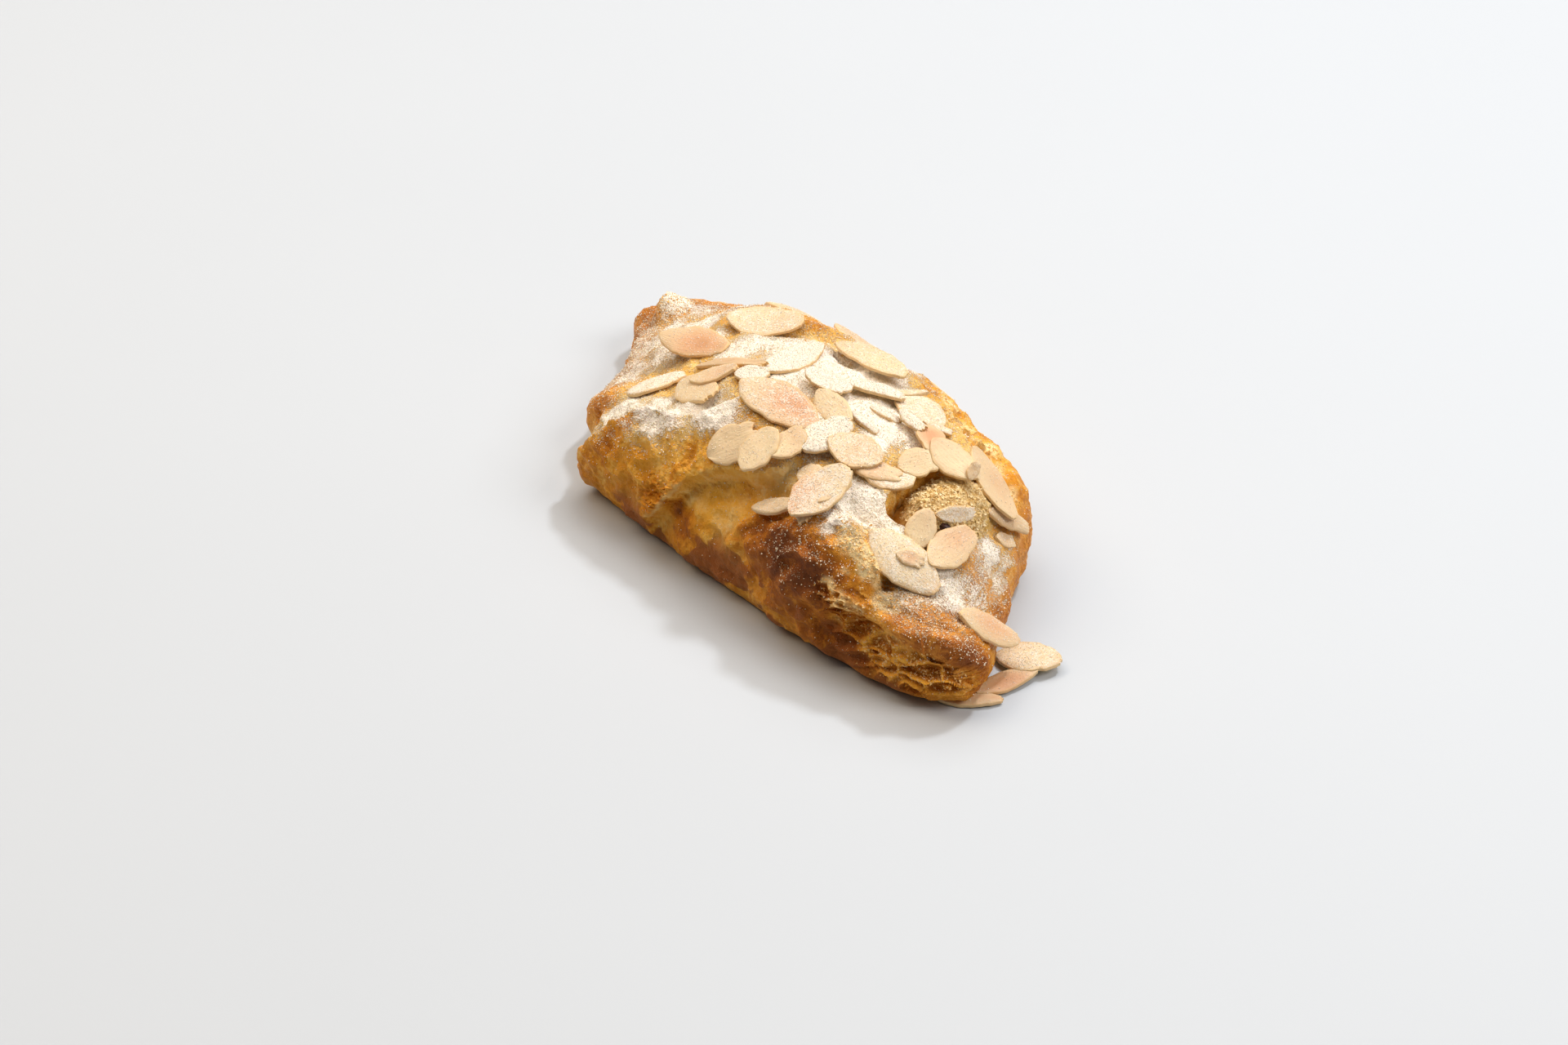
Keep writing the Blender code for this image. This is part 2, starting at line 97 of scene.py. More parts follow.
@contextmanager
def editing(obj: Piece, pick: Pick, chosen: Array | None = None) -> Iterator[None]:
    """Opens an object's mesh in edit mode with some of it selected.

    Args:
        obj: The object to work on.
        pick: Whether the selection is of edges or of faces.
        chosen: One truth value for each edge or face, or None for all of them.
    """
    only(obj)
    bpy.context.tool_settings.mesh_select_mode = pick.value
    mesh = obj.data
    for parts in (mesh.vertices, mesh.edges, mesh.polygons):
        parts.foreach_set("select", np.zeros(len(parts), bool))
    parts = mesh.edges if pick is Pick.EDGES else mesh.polygons
    chosen = np.ones(len(parts), bool) if chosen is None else chosen
    parts.foreach_set("select", np.ascontiguousarray(chosen, bool))
    bpy.ops.object.mode_set(mode="EDIT")
    yield
    bpy.ops.object.mode_set(mode="OBJECT")


def divide(obj: Piece, pick: Pick, cuts: int = 1, chosen: Array | None = None) -> None:
    """Subdivides the chosen edges or faces of an object, or all of them."""
    with editing(obj, pick, chosen):
        bpy.ops.mesh.subdivide(number_cuts=cuts)


def added(operator: Callable[..., object], name: str, **settings: object) -> Piece:
    """Adds a primitive under a name, with nothing else selected.

    Args:
        operator: The operator that adds it.
        name: What it is called.
        settings: The operator's own settings.

    Returns:
        The new object.
    """
    bpy.ops.object.select_all(action="DESELECT")
    operator(**settings)
    obj = bpy.context.object
    obj.name = name
    return obj


def rows_of(items: bpy.types.bpy_prop_collection, name: str, width: int, kind: type = float) -> Array:
    """One property of every item of a mesh, one row each.

    Args:
        items: The vertices, edges, faces or stored values.
        name: The property.
        width: How many numbers it has.
        kind: The kind of number.

    Returns:
        The numbers.
    """
    flat = np.empty(width * len(items), kind)
    items.foreach_get(name, flat)
    return flat.reshape(-1, width)


def places_of(obj: Piece) -> Array:
    """The places of an object's vertices, one row each."""
    return rows_of(obj.data.vertices, "co", 3)


def normals_of(obj: Piece) -> Array:
    """The normals of an object's vertices, one row each."""
    return rows_of(obj.data.vertex_normals, "vector", 3)


def ends_of(obj: Piece) -> Array:
    """The places of the two ends of each edge."""
    return places_of(obj)[rows_of(obj.data.edges, "vertices", 2, np.int32)]


def triangles_of(obj: Piece) -> Array:
    """The vertex numbers of an object's triangles, one row each."""
    obj.data.calc_loop_triangles()
    return rows_of(obj.data.loop_triangles, "vertices", 3, np.int32)


def move_to(obj: Piece, places: Array) -> None:
    """Moves an object's vertices to the rows of places."""
    obj.data.vertices.foreach_set("co", np.ascontiguousarray(places, np.float32).ravel())
    obj.data.update()


def face_middles(obj: Piece, places: Array) -> Array:
    """The mean place of each face's vertices, one row each.

    Args:
        obj: The object whose faces are read.
        places: A row for each vertex, which need not be where the vertex is now.

    Returns:
        The middles.
    """
    corners = rows_of(obj.data.loops, "vertex_index", 1, np.int32)[:, 0]
    totals = rows_of(obj.data.polygons, "loop_total", 1, np.int32)[:, 0]
    starts = np.concatenate([[0], np.cumsum(totals)[:-1]])
    return np.add.reduceat(places[corners], starts, axis=0) / totals[:, None]


def write_mask(obj: Piece, name: str, values: Array) -> None:
    """Stores one number on each vertex, under a name that a material reads.

    Args:
        obj: The piece.
        name: The name.
        values: A number for each vertex.
    """
    layer = obj.data.attributes.get(name)
    if layer is None:
        layer = obj.data.attributes.new(name, "FLOAT", "POINT")
    layer.data.foreach_set("value", np.ascontiguousarray(values, np.float32))


def read_mask(obj: Piece, name: str) -> Array:
    """The numbers stored on the vertices under a name."""
    return rows_of(obj.data.attributes[name].data, "value", 1, np.float32)[:, 0]


def new_mesh(name: str, places: Array, faces: Array) -> Piece:
    """A mesh object from rows of places and rows of vertex numbers.

    Args:
        name: What it is called.
        places: A row for each vertex.
        faces: A row for each face.

    Returns:
        The new object.
    """
    mesh = bpy.data.meshes.new(name)
    mesh.from_pydata(places.tolist(), [], faces.tolist())
    mesh.update()
    obj = bpy.data.objects.new(name, mesh)
    bpy.context.scene.collection.objects.link(obj)
    return obj


def copy_of(obj: Piece, name: str) -> Piece:
    """A second object with its own copy of the mesh.

    Args:
        obj: The object to copy.
        name: What the copy is called.

    Returns:
        The copy.
    """
    twin = bpy.data.objects.new(name, obj.data.copy())
    bpy.context.scene.collection.objects.link(twin)
    return twin


def apply_all(obj: Piece) -> None:
    """Applies an object's modifiers in their order.

    Args:
        obj: The object.
    """
    only(obj)
    for modifier in list(obj.modifiers):
        bpy.ops.object.modifier_apply(modifier=modifier.name)


def join_all(parts: Sequence[Piece], name: str) -> Piece:
    """Joins objects into the first of them.

    Args:
        parts: The objects.
        name: What they are called together.

    Returns:
        The joined object.
    """
    only(parts[0])
    for part in parts:
        part.select_set(True)
    bpy.ops.object.join()
    parts[0].name = name
    return parts[0]


def soften(obj: Piece, angle: float) -> None:
    """Shades an object smooth where its faces meet at less than an angle."""
    only(obj)
    bpy.ops.object.shade_smooth_by_angle(angle=math.radians(angle))


def tree_of(places: Array, faces: Array) -> BVHTree:
    """A search tree over a mesh."""
    return BVHTree.FromPolygons(places.tolist(), faces.tolist())


def seat_in_frame(obj: Piece, node: str, finish: Material) -> None:
    """Moves a finished piece into the frame, gives it its finish in one slot, hangs it under the root and
    hides its node's solid.

    Args:
        obj: The piece, in millimetres.
        node: The solid that it stands for.
        finish: The material that it wears.
    """
    shift = np.array([*FRAME_CENTRE, 0.0])
    move_to(obj, (places_of(obj) - shift) * MM)
    obj.data.materials.clear()
    obj.data.materials.append(finish)
    obj.data.polygons.foreach_set("material_index", np.zeros(len(obj.data.polygons), np.int32))
    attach(obj, "root")
    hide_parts(node)
    log.info("%s: %d triangles", obj.name, len(triangles_of(obj)))


# Shapes that the relief and the masks are worked from.


def smooth_step(value: Array) -> Array:
    """0 below 0, 1 above 1, and a smooth rise between them."""
    held = np.clip(value, 0, 1)
    return held * held * (3 - 2 * held)


def bell(distance: Array, width: float, power: int = 2) -> Array:
    """1 at no distance, falling smoothly past a width, with a flatter top for a higher power."""
    return np.exp(-((distance / width) ** power))


def noise_at(points: Array, size: float | Point, shift: float = 0.0) -> Array:
    """Smooth noise between about -1 and 1, in lumps of a width, or of one width for each axis."""
    scaled = points / np.array(size) + shift
    return np.array([noise.noise(place) for place in scaled.tolist()])


def wobbled(points: Array, size: float, reach: float, shift: float = 0.0) -> Array:
    """The points pushed about by noise, which gives whatever is measured from them a ragged edge."""
    pushes = [noise_at(points, size, shift + 31.7 * axis) for axis in range(3)]
    return points + reach * np.stack(pushes, axis=1)


def near_line(points: Array, line: Line) -> tuple[Array, Array]:
    """Distance and offset from each point to a line of straight runs.

    Args:
        points: The places to read it at.
        line: The line's corners.

    Returns:
        The distances, and the offsets as rows.
    """
    nearest = np.full(len(points), np.inf)
    offset = np.zeros_like(points)
    for start, end in zip(line[:-1], line[1:]):
        first = np.array(start, float)
        run = np.array(end, float) - first
        along = np.clip((points - first) @ run / (run @ run), 0, 1)
        apart = points - first - along[:, None] * run
        distance = np.linalg.norm(apart, axis=1)
        closer = distance < nearest
        nearest[closer] = distance[closer]
        offset[closer] = apart[closer]
    return nearest, offset


def distance_to(points: Array, centre: Point) -> Array:
    """Distance from each point to a centre."""
    return np.linalg.norm(points - np.array(centre, float), axis=1)


def spot_mask(points: Array, spots: Iterable[tuple[Point, float, float]], spread: float) -> Array:
    """The strongest of many soft round spots at each point.

    Args:
        points: The places to read it at.
        spots: The middle, radius and strength of each spot.
        spread: How far the spots reach, as a multiple of their radius.

    Returns:
        The strength at each point.
    """
    mask = np.zeros(len(points))
    for centre, radius, strength in spots:
        mask = np.maximum(mask, strength * bell(distance_to(points, centre), radius * spread))
    return mask


def ball_directions(cube: Array) -> Array:
    """The directions to points on the faces of a cube of side 2, spread evenly over a ball."""
    directions = np.tan(cube * math.pi / 4)
    return directions / np.linalg.norm(directions, axis=1)[:, None]


# The plain loaf, in the same values as the part's source.


@dataclass(frozen=True)
class Loaf:
    """The parcel's body before any fold, as a surface round one middle."""

    heart: tuple[float, float] = (-4.0, 5.0)
    waist_height: float = 8.0
    outline: tuple[tuple[float, float], ...] = (
        (-58, -17), (-48, -27), (-12, -32), (25, -35), (50, -35), (65, -32), (72, -23), (63, -5),
        (54, 11), (44, 27), (16, 39), (-15, 40), (-48, 43), (-74, 43), (-86, 34), (-69, 3), (-64, -12),
    )
    crown: tuple[tuple[float, float], ...] = (
        (-85, 14), (-70, 20), (-50, 30), (-20, 38), (10, 39), (35, 37), (55, 28), (70, 20),
    )
    spread_power: float = 0.75
    rise_power: float = 0.85
    foot_sine: float = 0.5
    foot_power: float = 0.7
    crown_blur: float = 9.0

    def closed_outline(self, steps: int = 24) -> Array:
        """A smooth closed curve through the outline's corners.

        Args:
            steps: How many points each corner gets.

        Returns:
            The curve's points, in order.
        """
        corners = np.array(self.outline, float)
        t = (np.arange(steps) / steps)[:, None]
        runs = []
        for i in range(len(corners)):
            a, b, c, d = (corners[(i + k) % len(corners)] for k in (-1, 0, 1, 2))
            bend = (2 * a - 5 * b + 4 * c - d) * t**2 + (3 * b - a - 3 * c + d) * t**3
            runs.append(0.5 * (2 * b + (c - a) * t + bend))
        return np.concatenate(runs)

    def reach(self, headings: Array) -> Array:
        """Distance from the heart to the outline along each heading, in radians.

        Args:
            headings: Directions seen from above.

        Returns:
            The distances.
        """
        line = self.closed_outline() - np.array(self.heart)
        angles = np.arctan2(line[:, 1], line[:, 0])
        order = np.argsort(angles)
        lengths = np.hypot(line[:, 0], line[:, 1])[order]
        return np.interp(headings, angles[order], lengths, period=2 * math.pi)

    def crown_height(self, x: Array) -> Array:
        """Height of the crown at x, smooth along the length.

        Args:
            x: Places along the length.

        Returns:
            The height at each.
        """
        stations, heights = np.array(self.crown, float).T
        offsets = np.linspace(-self.crown_blur, self.crown_blur, 7)
        readings = [np.interp(x + offset, stations, heights) for offset in offsets]
        return np.mean(readings, axis=0)

    def surface(self, cube: Array) -> Array:
        """Moves points of a cube of side 2 out to the loaf.

        Args:
            cube: Places on the cube's faces.

        Returns:
            Their places on the loaf, in millimetres.
        """
        directions = ball_directions(cube)
        flat = np.hypot(directions[:, 0], directions[:, 1])
        rise = directions[:, 2]
        heading = np.arctan2(directions[:, 1], directions[:, 0])
        reach = self.reach(heading) * flat**self.spread_power
        x = self.heart[0] + reach * np.cos(heading)
        y = self.heart[1] + reach * np.sin(heading)
        height = self.crown_height(x) - self.waist_height
        above = self.waist_height + height * np.clip(rise, 0, 1) ** self.rise_power
        tuck = np.clip(-rise / self.foot_sine, 0, 1) ** self.foot_power
        z = np.where(rise > 0, above, self.waist_height * (1 - tuck))
        return np.stack([x, y, z], axis=1)


# Folds of the crust, in the same values as the part's source: swellings, ridges and torn lips.

MOUNDS = (
    ((-36, -31, 20), 15, 1.6),
    ((24, -34, 23), 11, 2.6),
    ((34, -29, 27), 8, 1.6),
    ((60, -26, 20), 10, 2.2),
    ((-75, 31, 17), 5, 3.6),
    ((-83, 28, 12), 5, 2.2),
    ((-54, 2, 24), 10, -2.4),
    ((-40, -6, 29), 9, -3.2),
    ((3, -29, 27), 7, -3.2),
    ((-3, -31, 22), 6, -2.2),
    ((12, -28, 30), 6, -2.4),
    ((41, 25, 25), 9, 1.4),
    ((22, 31, 29), 6, -1.4),
    ((-8, 0, 40), 16, 1.5),
    ((-45, 28, 32), 14, 2.0),
)

RIDGES = (
    (((-72, 38, 18), (-48, 43, 24), (-20, 40, 30), (12, 36, 31), (40, 27, 26), (56, 13, 19)), 4.5, 1.2),
    (((-82, 35, 15), (-77, 29, 17), (-71, 22, 18)), 1.8, -2.2),
    (((46, -33, 20), (53, -32, 18), (60, -30, 16), (66, -26, 14)), 2.4, 1.6),
    (((-46, -32, 4), (-10, -36, 5), (24, -38, 5)), 1.6, 0.9),
    (((-30, -33, 10), (0, -35, 10), (26, -38, 10)), 1.4, -0.8),
    (((4, -33, 17), (8, -30, 25), (10, -27, 31)), 1.8, 1.3),
)

FLAP_EDGE = (
    (-52, -26, 11), (-47, -26, 18), (-43, -24, 23), (-34, -20, 30), (-25, -20, 32), (-18, -16, 35),
    (-10, -8, 39),
)
PEELED_EDGE = ((-23, -33, 9), (-18, -32, 17), (-12, -30, 25), (-5, -27, 29), (6, -25, 32))
TORN_EDGE = ((28, -21, 33), (38, -24, 30), (45, -26, 26), (46, -31, 21), (41, -35, 15), (35, -37, 9))
CELL_EDGE = ((44, -34, 18), (53, -33, 17), (61, -31, 15), (67, -27, 12))
BACK_EDGE = ((-30, 25, 35), (-20, 30, 36), (-12, 28, 37), (0, 20, 39))
LIPS = (
    (FLAP_EDGE, (-0.45, 0.85, 0.1), 1.6, 2.4, 8, 12),
    (PEELED_EDGE, (0.8, -0.35, -0.25), 1.5, 2.6, 5, 9),
    (TORN_EDGE, (0.6, 0.3, 0.5), 1.8, 1.9, 5, 8),
    (CELL_EDGE, (0.2, -0.5, -0.8), 1.4, 1.8, 6, 8),
    (BACK_EDGE, (0.6, -0.7, 0.2), 1.6, 2.2, 6, 10),
)

# Finer relief: a line, the half width of its section and its height.
CREASES = (
    (((-46, -22, 20), (-34, -28, 23), (-27, -31, 19), (-23, -33, 15)), 1.1, -0.9),
    (((-43, -28, 21), (-36, -29, 21), (-28, -31, 19), (-20, -32, 16)), 1.2, 0.8),
    (((-35, -26, 26), (-27, -29, 23), (-21, -30, 21), (-19, -32, 18)), 1.0, -0.8),
    (((-28, -24, 30), (-21, -26, 27), (-17, -29, 24), (-17, -31, 19)), 1.2, 0.9),
    (((-22, -21, 33), (-16, -24, 30), (-15, -27, 27)), 1.0, -0.7),
    (((-58, -15, 12), (-52, -19, 16), (-46, -24, 18)), 1.0, -1.7),
    (((-55, -17, 15), (-49, -22, 19), (-45, -26, 20)), 1.2, 1.0),
    (((-5, -25, 24), (-2, -26, 21), (-1, -29, 19), (0, -31, 16)), 0.7, 1.3),
    (((-1, -24, 27), (4, -25, 24), (5, -27, 22), (4, -29, 20)), 0.7, 1.1),
    (((-10, -27, 27), (-8, -27, 22), (-7, -29, 19), (-9, -31, 15)), 0.7, 1.0),
    (((7, -22, 32), (7, -24, 26), (9, -27, 23)), 0.8, 1.2),
    (((5, -31, 21), (9, -29, 23), (16, -30, 25), (23, -31, 28), (29, -30, 30)), 1.6, 1.0),
    (((5, -33, 16), (11, -33, 19), (18, -34, 21), (27, -36, 23), (36, -32, 27)), 1.5, 0.9),
    (((14, -34, 13), (24, -37, 17), (31, -36, 17), (36, -35, 18)), 1.3, 0.8),
    (((6, -33, 19), (9, -33, 15), (14, -35, 12)), 0.9, -1.0),
    (((18, -33, 24), (24, -35, 20), (28, -37, 18)), 0.9, -0.9),
    (((1, -33, 7), (9, -34, 8), (19, -36, 11), (28, -36, 9)), 1.0, -0.7),
    (((29, -26, 33), (33, -28, 32), (39, -29, 30), (43, -29, 28), (46, -29, 24)), 1.3, 1.0),
    (((54, -32, 19), (60, -27, 21), (66, -22, 18)), 1.2, -0.7),
    (((52, 12, 19), (56, 2, 17), (60, -6, 15)), 1.3, -0.8),
    (((-66, 3, 15), (-72, 12, 13), (-78, 22, 11)), 1.4, 0.8),
    (((-60, -8, 16), (-66, 3, 19), (-70, 12, 19)), 1.2, -0.7),
    (((19, 20, 35), (21, 22, 34)), 1.6, -1.6),
    (((20, 29, 30), (24, 27, 30), (31, 25, 29)), 1.5, -1.7),
    (((-12, 22, 36), (-7, 19, 37)), 1.4, -1.6),
    (((33, 10, 33), (36, 9, 32)), 1.2, -1.2),
    (((31, 22, 31), (36, 26, 27), (43, 23, 24)), 1.3, 0.8),
    (((-66, 40, 12), (-40, 44, 15), (-12, 41, 17), (20, 37, 15)), 1.4, -0.9),
    (((-50, 42, 22), (-30, 41, 25), (-10, 39, 28)), 1.2, -0.7),
)

# Blisters: the middle, radius and height of each.
BLISTERS = (
    ((-24, -30, 21), 1.4, 0.8), ((-20, -31, 21), 1.2, 0.7), ((-21, -31, 18), 1.5, 0.9),
    ((-18, -32, 20), 1.1, 0.7), ((-23, -32, 16), 1.6, 0.8), ((-19, -32, 15), 1.3, 0.7),
    ((-23, -33, 13), 1.5, 0.6), ((-29, -32, 13), 1.8, 0.7), ((-33, -31, 11), 1.6, 0.6),
    ((-38, -30, 12), 1.8, 0.6), ((-25, -33, 9), 1.7, 0.5), ((48, -30, 22), 2.0, 1.5),
    ((44, -33, 17), 1.4, 0.9), ((40, -35, 19), 1.5, 0.9), ((36, -35, 21), 1.3, 0.7),
    ((43, -34, 15), 1.3, 0.8), ((-76, 31, 19), 2.4, 1.5), ((-73, 28, 14), 3.8, 3.6),
    ((-34, 36, 30), 2.2, 0.8), ((-26, 38, 28), 1.7, 0.7), ((8, 37, 28), 2.0, 0.8), ((30, 33, 24), 2.2, 0.8),
)

# Wrinkles: the middle and radius of a patch, the widths of its wrinkles along each axis and their height.
WRINKLES = (
    ((-36, -29, 20), 17, (9, 9, 4.2), 1.2),
    ((12, -34, 11), 20, (9, 9, 4), 0.9),
    ((26, -35, 22), 12, (5, 5, 4), 1.5),
    ((60, -27, 19), 12, (6, 6, 4), 1.0),
    ((-64, 10, 18), 17, (6, 6, 4), 0.8),
    ((54, 2, 18), 14, (7, 7, 4), 0.6),
    ((-44, 40, 20), 27, (9, 9, 4), 0.8),
    ((14, 37, 20), 27, (9, 9, 4), 0.8),
)

# Fine layers of the dough at a torn edge: the middle and radius of a patch, and how far they step.
LAYERS = (
    ((-23, -32, 14), 5, 0.8),
    ((-18, -31, 20), 4, 0.6),
    ((-54, -18, 13), 6, 0.5),
    ((42, -34, 15), 6, 0.6),
    ((68, -24, 9), 7, 0.6),
    ((-80, 32, 9), 7, 0.5),
    ((20, 29, 30), 8, 0.5),
    ((48, 20, 14), 10, 0.4),
)

END_CELLS = ((42, -35, 12), (51, -34, 10), (59, -32, 10), (68, -29, 7))
RIM_CELLS = ((17, 21, 35), (24, 27, 31), (31, 23, 31), (38, 24, 27))

# Open cells of the crumb: the run of a patch, its half width, how many cells, their radii and their depth.
CELLS = (
    (END_CELLS, 7.0, 70, (0.8, 2.7), 2.0),
    (((31, -28, 32), (37, -29, 31), (42, -29, 30), (47, -28, 26)), 3.4, 46, (0.5, 1.3), 1.3),
    (((33, -15, 34), (36, -12, 34), (37, -7, 34)), 3.0, 40, (0.4, 1.0), 0.3),
    (((35, -36, 20), (40, -35, 19), (44, -34, 16)), 3.6, 40, (0.5, 1.4), 1.4),
    (RIM_CELLS, 3.6, 40, (0.6, 1.8), 1.7),
    (((-14, 22, 36), (-7, 19, 37)), 2.6, 20, (0.5, 1.3), 1.2),
    (((-24, -31, 20), (-20, -32, 15)), 3.0, 40, (0.4, 1.0), 0.7),
    (((-57, -15, 13), (-50, -20, 16)), 2.0, 20, (0.4, 1.0), 0.8),
)

ROUGHNESS = ((17, 1.3), (8, 0.8), (3.9, 0.7), (2.0, 0.42), (1.0, 0.2))


@dataclass(frozen=True)
class Relief:
    """How far each point of the plain loaf stands out along its normal, in millimetres."""

    lip_edge: float = 1.7
    still_below: float = 4.0
    faintest: float = 0.02
    wrinkle_crest: float = 0.35
    layer_pitch: float = 1.25
    layer_waviness: float = 0.9
    cell_reach: float = 1.1
    cell_fade: float = 0.4
    cell_squash: float = 1.6
    cell_sizes_power: float = 1.6
    cell_shallowest: float = 0.25
    cell_rim: float = 0.6
    wall_width: float = 0.3
    wall_height: float = 0.18
    cells_above: float = 1.5
    seed: int = 11

    def folds(self, points: Array) -> Array:
        """The folds that the part's source has too.

        Args:
            points: Places on the plain loaf.

        Returns:
            How far each stands out.
        """
        total = np.zeros(len(points))
        for centre, radius, height in MOUNDS:
            total += height * bell(distance_to(points, centre), radius)
        for line, half_width, height in RIDGES:
            total += height * bell(near_line(points, line)[0], half_width)
        ragged = wobbled(points, 2.6, 0.9)
        for line, side, rise, drop, rise_reach, drop_reach in LIPS:
            distance, offset = near_line(ragged, line)
            over = smooth_step(0.5 + offset @ np.array(side) / self.lip_edge)
            raised = rise * bell(distance, rise_reach)
            lowered = drop * bell(distance, drop_reach)
            total += (1 - over) * raised - over * lowered
        return total

    def creases(self, points: Array) -> Array:
        """Creases, stretched skins and blisters.

        Args:
            points: Places on the plain loaf.

        Returns:
            How far each stands out.
        """
        total = np.zeros(len(points))
        bent = wobbled(points, 4.5, 1.1, 5.0)
        for line, half_width, height in CREASES:
            total += height * bell(near_line(bent, line)[0], half_width)
        for centre, radius, height in BLISTERS:
            total += height * bell(distance_to(bent, centre), radius, 4)
        return total

    def wrinkles(self, points: Array) -> Array:
        """Patches of sharp little folds that run along the length.

        Args:
            points: Places on the plain loaf.

        Returns:
            How far each stands out.
        """
        total = np.zeros(len(points))
        for number, (centre, radius, sizes, height) in enumerate(WRINKLES):
            mask = bell(distance_to(points, centre), radius)
            near = mask > self.faintest
            folded = self.wrinkle_crest - np.abs(noise_at(points[near], sizes, 9.1 * number)) * 2
            total[near] += height * folded * mask[near]
        return total

    def layers(self, points: Array) -> Array:
        """Steps between the thin layers of the dough.

        Args:
            points: Places on the plain loaf.

        Returns:
            How far each stands out.
        """
        total = np.zeros(len(points))
        for centre, radius, height in LAYERS:
            mask = bell(distance_to(points, centre), radius)
            near = mask > self.faintest
            level = points[near, 2] / self.layer_pitch + self.layer_waviness * noise_at(points[near], 5.0)
            total[near] += height * ((level % 1.0) - 0.5) * mask[near]
        return total

    def cells(self, points: Array) -> Array:
        """Open cells with thin walls between them.

        Args:
            points: Places on the plain loaf.

        Returns:
            How far each stands out.
        """
        rng = np.random.default_rng(self.seed)
        total = np.zeros(len(points))
        bent = wobbled(points, 2.0, 0.35, 7.7)
        for line, half_width, count, radii, depth in CELLS:
            middles = self.cell_middles(rng, line, half_width, count)
            sizes = radii[0] + (radii[1] - radii[0]) * rng.random(count) ** self.cell_sizes_power
            depths = depth * rng.uniform(self.cell_shallowest, 1.0, count)
            distance = near_line(points, line)[0]
            reach = self.cell_reach * half_width
            near = distance < reach
            spread = (bent[near][:, None] - middles[None]) * np.array([1.0, 1.0, self.cell_squash])
            share = np.linalg.norm(spread, axis=2) / sizes
            two = np.partition(share, 1, axis=1)
            gap = two[:, 1] - two[:, 0]
            pit = -depths[share.argmin(axis=1)] * smooth_step(gap / self.cell_rim)
            wall = self.wall_height * depth * (1 - smooth_step(gap / self.wall_width))
            fade = smooth_step((reach - distance[near]) / (self.cell_fade * half_width))
            total[near] += fade * (pit + wall)
        return total * smooth_step((points[:, 2] - self.cells_above) / 2.0)

    def cell_middles(self, rng: np.random.Generator, line: Line, half_width: float, count: int) -> Array:
        """The middles of cells that are strewn along a line.

        Args:
            rng: The source of the draws.
            line: The line's corners.
            half_width: How far to its sides they lie.
            count: How many there are.

        Returns:
            A row for each cell.
        """
        knots = np.array(line, float)
        along = rng.random(count) * (len(knots) - 1)
        start = along.astype(int)
        middles = knots[start] + (along - start)[:, None] * (knots[start + 1] - knots[start])
        return middles + rng.uniform(-1, 1, (count, 3)) * half_width

    def roughness(self, points: Array) -> Array:
        """Unevenness from large to small.

        Args:
            points: Places on the plain loaf.

        Returns:
            How far each stands out.
        """
        total = np.zeros(len(points))
        for size, height in ROUGHNESS:
            total += height * noise_at(points, size)
        return total

    def total(self, points: Array) -> Array:
        """All of the relief but the cells, fading to none at the flat underside.

        Args:
            points: Places on the plain loaf.

        Returns:
            How far each stands out.
        """
        moved = self.folds(points) + self.creases(points) + self.wrinkles(points)
        moved += self.layers(points) + self.roughness(points)
        return moved * smooth_step(points[:, 2] / self.still_below)


# Colours of the crust: the middle and radius of a spot, and how strong it is.

